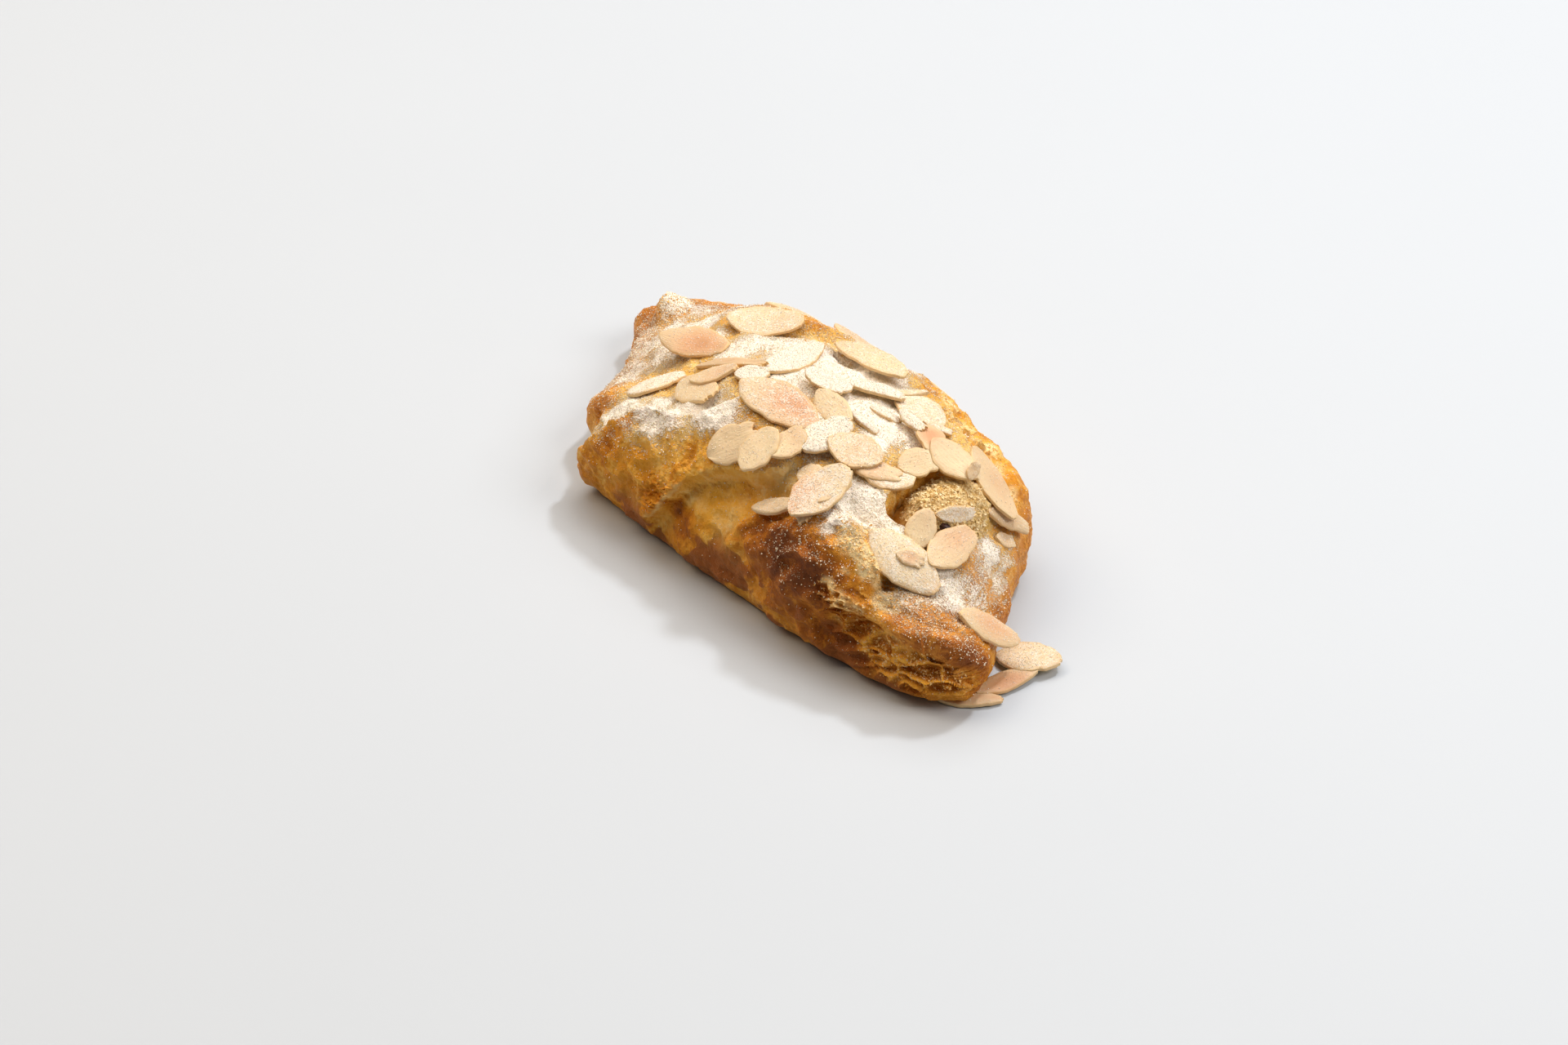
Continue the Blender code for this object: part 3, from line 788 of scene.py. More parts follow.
BAKED_SPOTS = (
    ((20, -34, 23), 6.5, 0.9), ((30, -36, 23), 6.5, 0.88), ((12, -31, 22), 4.5, 0.72),
    ((33, -35, 19), 4, 0.82), ((26, -37, 19), 4, 0.84), ((38, -35, 17), 3, 0.66), ((43, -33, 15), 2, 0.55),
    ((10, -33, 20), 3, 0.6), ((14, -34, 14), 3, 0.64), ((22, -36, 12), 4, 0.66), ((28, -36, 12), 4, 0.66),
    ((34, -35, 9), 4.5, 0.64), ((41, -35, 7), 4.5, 0.62), ((47, -34, 5), 3.5, 0.6), ((55, -34, 4), 3, 0.58),
    ((61, -32, 4), 3, 0.56), ((-16, -29, 14), 2.5, 0.7), ((-12, -31, 12), 3, 0.62),
    ((-8, -32, 11), 3, 0.55), ((-24, -32, 16), 2, 0.45), ((-40, -30, 15), 1.5, 0.5),
    ((-45, -29, 15), 2, 0.48), ((-49, -29, 9), 1.5, 0.5), ((-30, -31, 15), 2, 0.42),
    ((-1, -33, 8), 3, 0.56), ((4, -33, 7), 2.5, 0.56), ((-5, -32, 10), 2, 0.55), ((-36, -17, 27), 2, 0.5),
    ((-34, -23, 29), 2, 0.52), ((-37, -26, 26), 2, 0.5), ((-40, -28, 21), 2, 0.5), ((-43, -30, 18), 2, 0.5),
    ((-26, -22, 31), 2, 0.42), ((-16, -24, 30), 2, 0.42), ((-79, 23, 12), 4, 0.5), ((-80, 26, 13), 4, 0.52),
    ((-77, 19, 10), 4, 0.5), ((-72, 12, 12), 4, 0.48), ((-66, 3, 13), 4, 0.46), ((-60, -7, 17), 4, 0.44),
    ((-56, -13, 17), 3, 0.48), ((-59, -14, 14), 3, 0.48), ((-70, 32, 18), 3, 0.5), ((-64, 35, 19), 3, 0.52),
    ((-43, 23, 32), 2, 0.5), ((-33, 25, 34), 2, 0.5), ((-27, 29, 34), 2.5, 0.6), ((-14, 10, 38), 2, 0.5),
    ((-14, 17, 37), 2.5, 0.6), ((11, 29, 33), 2, 0.5), ((17, 31, 29), 2, 0.46), ((26, 29, 27), 2, 0.46),
    ((45, 23, 20), 3, 0.42), ((48, 22, 15), 4, 0.52), ((50, 19, 10), 4, 0.5), ((53, 12, 9), 4, 0.56),
    ((59, 3, 10), 4, 0.6), ((62, -5, 10), 4, 0.6), ((61, -31, 20), 6, 0.56), ((67, -28, 18), 4, 0.64),
    ((70, -24, 15), 3.5, 0.76), ((71, -20, 12), 3, 0.8), ((55, -32, 20), 3, 0.52), ((71, -20, 7), 3, 0.68),
    ((61, -22, 20), 5, 0.48), ((65, -18, 17), 4, 0.52), ((45, -28, 26), 2, 0.55), ((41, -33, 23), 2, 0.58),
    ((32, -26, 33), 1.5, 0.5), ((56, -8, 19), 6, 0.45), ((-60, 44, 14), 8, 0.55), ((-30, 43, 18), 9, 0.5),
    ((0, 41, 20), 9, 0.58), ((28, 35, 17), 8, 0.52), ((-84, 34, 9), 5, 0.6),
)

RUDDY_SPOTS = (
    ((-79, 23, 13), 9, 1.0), ((-69, 6, 14), 9, 0.9), ((-58, -12, 15), 6, 0.6), ((62, -26, 18), 11, 0.8),
    ((57, -3, 15), 11, 0.9), ((50, 18, 12), 9, 0.8), ((24, -35, 20), 12, 0.6), ((45, -33, 9), 12, 0.5),
    ((-68, 34, 18), 7, 0.7), ((-30, 43, 15), 16, 0.5),
)

CRUMB_SPOTS = (
    ((34, -27, 33), 2, 0.9), ((36, -28, 32), 2.6, 1.0), ((39, -29, 31), 2.8, 1.0),
    ((43, -29, 29), 2.8, 1.0), ((46, -28, 26), 2.4, 0.9), ((36, -35, 21), 2.4, 0.9),
    ((40, -35, 19), 2.8, 0.95), ((50, -29, 21), 2.4, 0.9), ((36, -21, 30), 1.5, 0.6),
    ((39, -32, 26), 1.5, 0.5), ((48, -30, 22), 2, 0.9), ((44, -34, 13), 3.4, 0.8),
    ((49, -34, 11), 3.8, 0.9), ((55, -33, 10), 4.2, 0.95), ((61, -32, 10), 4.2, 0.95),
    ((66, -30, 9), 3.6, 0.9), ((69, -28, 8), 2.4, 0.7), ((50, -32, 15), 2.4, 0.7),
    ((31, -25, 34), 1.6, 0.8), ((43, -30, 27), 2, 0.8), ((-77, 31, 18), 2.6, 0.7),
    ((-74, 29, 19), 3.8, 1.0), ((23, 27, 31), 4, 0.8), ((-20, 22, 36), 3, 0.4), ((15, 31, 30), 3, 0.7),
    ((31, 25, 29), 3.4, 0.85), ((38, 22, 28), 3, 0.75), ((44, 20, 24), 2.4, 0.6),
    ((44, -33, 19), 2.4, 0.85), ((53, 13, 18), 2, 0.5),
)

# Painted highlights: spots where the crust is made paler to stand in for light falling on the flap and the
# slopes.
HIGHLIGHT_SPOTS = (
    ((-46, -18, 21), 9, 0.24), ((-31, -23, 29), 8, 0.24), ((-50, -23, 15), 5, 0.14),
    ((-21, -22, 32), 6, 0.16), ((55, 0, 18), 9, 0.18), ((56, -16, 23), 8, 0.2), ((-57, 8, 24), 12, 0.1),
    ((-70, 14, 16), 8, 0.1), ((40, -28, 28), 7, 0.1), ((-40, -14, 28), 9, 0.12), ((30, 26, 30), 9, 0.12),
)

GLOW_SPOTS = (
    ((-6, -27, 21), 4.5, 1.0), ((-2, -25, 24), 4.5, 0.9), ((3, -27, 22), 3.4, 0.8),
    ((-11, -28, 23), 3.2, 0.7), ((-5, -31, 17), 3.2, 0.6), ((4, -24, 29), 2.4, 0.6),
    ((-29, -30, 22), 4, 0.4), ((-33, -31, 16), 3, 0.35), ((36, -12, 33), 3, 0.3), ((7, -23, 28), 2.4, 0.6),
    ((-12, -24, 30), 3, 0.4),
)

SUGAR_SPOTS = (
    ((-57, 20, 24), 6, 0.9), ((-64, 16, 19), 3, 0.9), ((-65, 12, 17), 3, 0.7), ((-26, -15, 31), 5, 0.9),
    ((-15, -18, 36), 4, 0.8), ((-37, -13, 26), 4, 0.75), ((-47, -15, 22), 3, 0.8), ((-60, -3, 17), 4, 0.6),
    ((-6, 7, 39), 6, 1.0), ((-13, 4, 39), 4, 0.9), ((7, 6, 39), 4.5, 1.0), ((13, 8, 38), 4.5, 1.0),
    ((10, -10, 38), 4, 0.95), ((4, -9, 39), 3, 0.9), ((29, -18, 33), 4.5, 0.95), ((32, -18, 32), 3.5, 1.0),
    ((40, -18, 30), 3, 0.9), ((30, -26, 32), 2.6, 0.7), ((52, 3, 20), 4, 0.8), ((58, -17, 21), 3.5, 0.9),
    ((60, -27, 20), 5, 0.26), ((66, -23, 18), 4, 0.2), ((27, -35, 24), 7, 0.08), ((26, 5, 36), 3, 0.6),
    ((41, -2, 29), 3, 0.5), ((58, -3, 16), 3, 0.4), ((-32, 7, 34), 4, 0.8), ((-44, 10, 29), 4, 0.8),
    ((-29, 12, 35), 4, 0.6), ((20, -1, 37), 3, 0.6), ((46, -3, 26), 3, 0.6), ((46, -24, 26), 3, 0.6),
    ((-20, 14, 37), 6, 0.5), ((18, 6, 37), 5, 0.6), ((-52, 30, 27), 6, 0.6), ((-5, 30, 34), 7, 0.5),
    ((-67, 20, 20), 5, 0.7), ((-62, 2, 17), 8, 0.55), ((-68, 13, 17), 8, 0.5), ((-57, 8, 24), 8, 0.6),
    ((-50, -21, 19), 5, 0.5), ((-43, -22, 25), 5, 0.55), ((-35, -19, 29), 4, 0.8), ((-66, 30, 21), 5, 0.6),
    ((-77, 24, 14), 5, 0.3), ((56, 1, 18), 9, 0.5), ((54, 10, 17), 6, 0.4), ((56, -16, 23), 8, 0.62),
    ((-74, 29, 19), 4, 0.9), ((0, 18, 38), 6, 0.95), ((-12, 16, 37), 5, 0.7), ((10, 16, 37), 5, 0.7),
    ((60, -10, 19), 7, 0.5), ((-46, -18, 21), 8, 0.6), ((-31, -23, 29), 7, 0.55), ((52, -27, 24), 6, 0.45),
    ((-51, -19, 16), 6, 0.4), ((-74, 18, 14), 7, 0.4),
)

GRAIN_SPOTS = (
    ((22, -34, 25), 8, 0.75), ((33, -32, 27), 7, 0.7), ((12, -30, 25), 6, 0.4), ((60, -28, 20), 8, 1.0),
    ((67, -23, 17), 6, 0.9), ((52, -28, 23), 6, 0.7), ((58, -15, 20), 9, 0.8), ((58, 0, 16), 9, 0.7),
    ((-40, -24, 25), 8, 0.6), ((-30, -27, 26), 8, 0.4), ((-3, -24, 27), 6, 0.15), ((-76, 24, 15), 8, 0.9),
    ((-66, 6, 16), 9, 0.9), ((-58, -10, 16), 7, 0.7), ((-60, 30, 22), 12, 0.6), ((40, -18, 30), 9, 0.8),
    ((24, 20, 33), 12, 0.5), ((0, 0, 40), 16, 0.6), ((-30, 5, 35), 16, 0.6),
)

FOOT_BAND = ((-30, -33, 4), (0, -34, 7), (20, -37, 9), (36, -36, 7), (52, -35, 2))

PALE_LINES = (
    PEELED_EDGE,
    FLAP_EDGE,
    ((31, -25, 33), (36, -27, 32), (42, -28, 30), (46, -28, 26)),
)


@dataclass(frozen=True)
class CrustMasks:
    """Where the crust is browned, ruddy, torn, glassy or sugared, and where highlights are painted as paler
    crust.
    """

    plain_bake: float = 0.29
    top_paling: float = 0.1
    relief_browning: float = 0.05
    foot_darkening: float = 0.1
    light_dusting: float = 0.13
    top_dusting: float = 0.22
    light_grains: float = 0.05
    band_width: float = 9.0
    edge_width: float = 0.6
    patchiness: tuple[tuple[float, float, float], ...] = ((14.0, 0.06, 3.3), (4.0, 0.05, 8.8))
    relief_limit: float = 0.1
    baked_spread: float = 1.35
    spots_spread: float = 1.2
    torn_spread: float = 1.15
    heap_spread: float = 1.25

    def bake_and_highlights(self, points: Array, relief: Array) -> Array:
        """How far the crust is browned, made paler where highlights are painted in.

        Args:
            points: Places on the crust.
            relief: How far each stands out, as what stands out browns first.

        Returns:
            A number from 0 pale to 1 dark for each.
        """
        high = smooth_step((points[:, 2] - 22) / 12)
        start = self.plain_bake - self.top_paling * high
        start += sum(share * noise_at(points, size, shift) for size, share, shift in self.patchiness)
        start += np.clip(self.relief_browning * relief, -self.relief_limit, self.relief_limit)
        # Painted highlights: the crust is made paler in the highlight spots.
        start -= spot_mask(points, HIGHLIGHT_SPOTS, self.spots_spread)
        # Darker towards the foot, from 13 mm down.
        start += self.foot_darkening * smooth_step((13 - points[:, 2]) / 8)
        ragged = wobbled(points, 3.5, 1.7, 2.2)
        baked = start
        for centre, radius, level in BAKED_SPOTS:
            fade = bell(distance_to(ragged, centre), self.baked_spread * radius)
            baked = np.maximum(baked, start + (level - start) * fade)
        return np.clip(baked, 0, 1)

    def pale_edges(self, points: Array) -> Array:
        """Where a torn layer shows its pale edge as a thin line.

        Args:
            points: Places on the crust.

        Returns:
            A number from 0 to 1 for each.
        """
        ragged = wobbled(points, 2.6, 0.9)
        mask = np.zeros(len(points))
        for line in PALE_LINES:
            mask = np.maximum(mask, bell(near_line(ragged, line)[0], self.edge_width))
        return mask

    def sugar(self, points: Array, normals: Array) -> Array:
        """How thickly sugar lies on the crust.

        Args:
            points: Places on the crust.
            normals: The crust's normals there.

        Returns:
            A number from 0 to 1 for each.
        """
        ragged = wobbled(points, 3.0, 2.2, 6.1)
        heaps = spot_mask(ragged, SUGAR_SPOTS, self.heap_spread)
        facing = smooth_step((normals[:, 2] - 0.05) / 0.6)
        strewn = self.light_dusting + self.top_dusting * smooth_step((points[:, 2] - 26) / 8)
        return np.clip(heaps + strewn, 0, 1) * facing

    def grains(self, points: Array, normals: Array) -> Array:
        """How many loose grains of sugar lie on the crust.

        Args:
            points: Places on the crust.
            normals: The normal at each.

        Returns:
            A number from 0 to 1 for each.
        """
        facing = smooth_step((normals[:, 2] + 0.25) / 0.8)
        heaps = spot_mask(points, GRAIN_SPOTS, self.spots_spread)
        return np.clip(heaps + self.light_grains, 0, 1) * facing

    def band(self, points: Array) -> Array:
        """The marbled band along the foot of the front.

        Args:
            points: Places on the crust.

        Returns:
            A number from 0 to 1 for each.
        """
        ragged = wobbled(points, 7.0, 3.0, 1.3)
        reach = bell(near_line(ragged, FOOT_BAND)[0], self.band_width, 4)
        return reach * (1 - 0.8 * spot_mask(points, CRUMB_SPOTS, 1.3))

    def write(self, crust: Piece) -> None:
        """Stores every mask on the vertices of the crust.

        Args:
            crust: The crust, in millimetres.
        """
        points, normals = places_of(crust), normals_of(crust)
        ragged = wobbled(points, 2.4, 1.0, 4.4)
        torn = spot_mask(ragged, CRUMB_SPOTS, self.torn_spread)
        masks = {
            "bake_and_highlights": self.bake_and_highlights(points, read_mask(crust, "stands")),
            "ruddy": spot_mask(ragged, RUDDY_SPOTS, self.spots_spread),
            "crumb": np.maximum(torn, read_mask(crust, "cut")),
            "glow": spot_mask(ragged, GLOW_SPOTS, self.torn_spread),
            "crumbly": spot_mask(ragged, CRUMB_SPOTS, self.heap_spread),
            "sugar": self.sugar(points, normals),
            "grains": self.grains(points, normals),
            "band": self.band(points),
            "pale_edge": self.pale_edges(points),
        }
        for name, values in masks.items():
            write_mask(crust, name, values)


@dataclass(frozen=True)
class Opening:
    """The ragged hole that is torn over the filling, by its reach along each heading from its middle."""

    centre: tuple[float, float] = (39.5, -4.0)
    reaches: tuple[tuple[float, float], ...] = (
        (0, 7.5), (40, 8.0), (75, 8.0), (110, 8.5), (150, 8.0), (180, 7.6), (215, 8.4), (245, 11.5),
        (270, 11.5), (300, 9.5), (330, 8.0),
    )
    floor: float = 20.5
    top: float = 60.0
    sides: int = 96
    levels: int = 52
    ragged: float = 0.6
    ring: float = 8.0
    belly: float = 1.2
    belly_height: float = 26.0
    belly_reach: float = 5.0
    waist: float = 0.5
    waist_below: float = 34.0

    def build(self) -> Piece:
        """A rough-walled plug to cut the opening with.

        Returns:
            The plug.
        """
        middle = (self.floor + self.top) / 2
        size = {"vertices": self.sides, "radius": 1, "depth": self.top - self.floor}
        plug = added(bpy.ops.mesh.primitive_cylinder_add, "plug", location=(0, 0, middle), **size)
        bpy.ops.object.transform_apply(location=True)
        upright = np.ptp(ends_of(plug)[:, :, 2], axis=1) > 1
        divide(plug, Pick.EDGES, self.levels, upright)
        move_to(plug, self.shaped(places_of(plug)))
        write_mask(plug, "cut", np.ones(len(plug.data.vertices)))
        return plug

    def shaped(self, round_places: Array) -> Array:
        """The round plug's points moved to the ragged, rough-walled hole.

        Args:
            round_places: Places on a cylinder of radius 1.

        Returns:
            Their places on the plug.
        """
        angle = np.arctan2(round_places[:, 1], round_places[:, 0])
        level = round_places[:, 2]
        headings, lengths = np.array(self.reaches, float).T
        reach = np.interp(np.degrees(angle) % 360, headings, lengths, period=360)
        ring = np.stack([self.ring * np.cos(angle), self.ring * np.sin(angle), level], axis=1)
        rough = self.ragged * (noise_at(ring, (2.6, 2.6, 9.0)) + noise_at(ring, 1.1, 4.0))
        belly = self.belly * bell(level - self.belly_height, self.belly_reach)
        belly -= self.waist * smooth_step((self.waist_below - level) / 4)
        length = reach + rough + belly
        x = self.centre[0] + length * np.cos(angle)
        y = self.centre[1] + length * np.sin(angle)
        return np.stack([x, y, level], axis=1)


@dataclass
class Crust:
    """The baked dough round the filling."""

    loaf: Loaf = field(default_factory=Loaf)
    relief: Relief = field(default_factory=Relief)
    masks: CrustMasks = field(default_factory=CrustMasks)
    opening: Opening = field(default_factory=Opening)
    cuts: int = 62
    deepest_pit: float = 1.3
    sharpest_fold: float = 55.0
    close_lines: tuple[tuple[Line, float], ...] = (
        (END_CELLS, 7.0),
        (((30, -27, 33), (39, -29, 30), (46, -29, 24), (43, -34, 16), (36, -36, 20)), 3.8),
        (RIM_CELLS, 3.5),
        (((-23, -33, 10), (-18, -32, 17), (-12, -30, 25), (-5, -27, 29), (2, -25, 31)), 2.2),
        (((-58, -15, 12), (-46, -24, 18)), 2.4),
    )

    def blank(self) -> Piece:
        """A cube with its faces divided, finer where the crust is finest.

        Returns:
            The divided cube.
        """
        cube = added(bpy.ops.mesh.primitive_cube_add, "crust", size=2)
        divide(cube, Pick.FACES, self.cuts)
        ends = ends_of(cube)
        along_x = np.abs(ends[:, 0, 0] - ends[:, 1, 0]) > 1e-4
        divide(cube, Pick.EDGES, 1, along_x)
        for chosen in (self.near_faces, self.close_faces):
            middles = face_middles(cube, self.loaf.surface(places_of(cube)))
            divide(cube, Pick.FACES, 1, chosen(middles))
        return cube

    def near_faces(self, middles: Array) -> Array:
        """Which faces are divided once more: the front, the tip, the opening and the torn rim.

        Args:
            middles: The middle of each face.

        Returns:
            Whether each is chosen.
        """
        front = (middles[:, 1] < -17) & (middles[:, 2] > 2)
        tip = (middles[:, 0] > 58) & (middles[:, 2] > 2)
        torn = (distance_to(middles, (38, -3, 33)) < 15) | (distance_to(middles, (24, 24, 31)) < 11)
        return front | tip | torn

    def close_faces(self, middles: Array) -> Array:
        """Which faces are divided again: open cells and torn edges.

        Args:
            middles: The middle of each face.

        Returns:
            Whether each is chosen.
        """
        found = np.zeros(len(middles), bool)
        for line, reach in self.close_lines:
            found |= near_line(middles, line)[0] < reach
        return found

    def flatten_underside(self, crust: Piece) -> None:
        """Makes one face of the flat underside.

        Args:
            crust: The crust, in millimetres.
        """
        middles = face_middles(crust, places_of(crust))
        with editing(crust, Pick.FACES, middles[:, 2] < 1e-3):
            bpy.ops.mesh.dissolve_faces()

    def open_over_filling(self, crust: Piece) -> None:
        """Cuts the opening out of the crust.

        Args:
            crust: The crust, still closed.
        """
        plug = self.opening.build()
        cut = crust.modifiers.new("opening", "BOOLEAN")
        cut.operation = "DIFFERENCE"
        cut.solver = "EXACT"
        cut.object = plug
        apply_all(crust)
        bpy.data.objects.remove(plug)

    def build(self) -> Piece:
        """The whole crust in millimetres, with its masks.

        Returns:
            The crust.
        """
        crust = self.blank()
        plain = self.loaf.surface(places_of(crust))
        move_to(crust, plain)
        moved = self.relief.total(plain)
        cells = self.relief.cells(plain)
        places = plain + normals_of(crust) * (moved + cells)[:, None]
        places[:, 2] = np.maximum(places[:, 2], 0)
        move_to(crust, places)
        write_mask(crust, "stands", moved)
        # How deep each point lies in an open cell, which the crust finish reads to paint shade there.
        write_mask(crust, "pit", np.clip(-cells / self.deepest_pit, 0, 1))
        write_mask(crust, "cut", np.zeros(len(places)))
        self.flatten_underside(crust)
        self.open_over_filling(crust)
        soften(crust, self.sharpest_fold)
        self.masks.write(crust)
        return crust


@dataclass
class Filling:
    """The roll of almond filling, with the lump that shows in the opening."""

    centre: Point = (0.0, 2.0, 19.0)
    halves: Point = (48.0, 17.0, 8.5)
    lump_centre: tuple[float, float] = (43.0, -1.0)
    lump_reach: float = 10.2
    lump_rise: float = 9.8
    lump_length: float = 0.8
    cuts: int = 28
    fine_centre: tuple[float, float] = (40.0, -2.0)
    fine_reach: float = 13.0
    shown_centre: tuple[float, float] = (42.0, -1.0)
    shown_reach: float = 12.0
    grains: tuple[tuple[float, float], ...] = ((7, 1.2), (2.8, 0.6), (1.3, 0.4), (0.7, 0.3))
    fragment_place: tuple[float, float] = (45.6, -6.6)
    fragment_size: Point = (3.6, 2.2, 1.6)
    fragment_lift: float = 0.25

    def rounded(self, cube: Array) -> Array:
        """Moves points of a cube out to the roll and its lump, in millimetres.

        Args:
            cube: Places on a cube's faces.

        Returns:
            Their places on the roll.
        """
        directions = ball_directions(cube)
        level = directions[:, :2]
        flat = np.linalg.norm(level, axis=1) / np.linalg.norm(level**2, axis=1) ** 0.5
        squared = directions * np.stack([flat, flat, np.ones(len(flat))], axis=1)
        places = np.array(self.centre) + squared * np.array(self.halves)
        x, y = places[:, 0] - self.lump_centre[0], places[:, 1] - self.lump_centre[1]
        upper = smooth_step(directions[:, 2] + 0.5)
        places[:, 2] += self.lump_rise * bell(np.hypot(x, y * self.lump_length), self.lump_reach, 4) * upper
        return places

    def build(self) -> Piece:
        """The filling in millimetres, grainy where it shows.

        Returns:
            The roll.
        """
        roll = added(bpy.ops.mesh.primitive_cube_add, "almond_filling", size=2)
        divide(roll, Pick.FACES, self.cuts)
        for _ in range(2):
            middles = face_middles(roll, self.rounded(places_of(roll)))
            under_opening = self.away(middles, self.fine_centre) < self.fine_reach
            divide(roll, Pick.FACES, 1, under_opening & (middles[:, 2] > self.centre[2]))
        places = self.rounded(places_of(roll))
        move_to(roll, places)
        grain = np.zeros(len(places))
        for size, height in self.grains:
            grain += height * noise_at(places, size)
        move_to(roll, places + normals_of(roll) * grain[:, None])
        write_mask(roll, "grain", grain)
        shown = (self.shown_reach - self.away(places, self.shown_centre)) / 4
        write_mask(roll, "shown", smooth_step(shown))
        soften(roll, 60)
        return roll

    def away(self, places: Array, centre: tuple[float, float]) -> Array:
        """How far each place stands from a centre, seen from above."""
        return np.hypot(places[:, 0] - centre[0], places[:, 1] - centre[1])

    def fragment(self, roll: Piece) -> Piece:
        """A dark toasted fragment half sunk in the top of the lump.

        Args:
            roll: The roll that it lies in.

        Returns:
            The fragment.
        """
        tree = tree_of(places_of(roll), triangles_of(roll))
        x, y = self.fragment_place
        hit = tree.ray_cast(Vector((x, y, 80)), -UP)[0]
        piece = added(bpy.ops.mesh.primitive_ico_sphere_add, "toasted_fragment", subdivisions=4, radius=0.5)
        unit = places_of(piece)
        shaped = unit * (1 + 0.3 * noise_at(unit, 0.35))[:, None] * np.array(self.fragment_size)
        shaped += 0.15 * noise_at(shaped, 0.5)[:, None]
        move_to(piece, shaped + np.array([x, y, hit.z + self.fragment_lift]))
        soften(piece, 40)
        return piece


# Flaked almonds.


@dataclass(frozen=True)
class Flake:
    """One flaked almond: where it lies, its size, and how it is toasted and sugared.

    Its head is the blunt end, and toast_along and toast_across place the toasted part from -1 to 1.
    """

    x: float
    y: float
    heading: float
    length: float
    width: float
    pitch: float = 0.0
    roll: float = 0.0
    blunt: float = 0.2
    toast: float = 0.2
    toast_along: float = 0.0
    toast_across: float = 0.0
    sugar: float = 0.25
    seat: Seat = Seat.CRUST


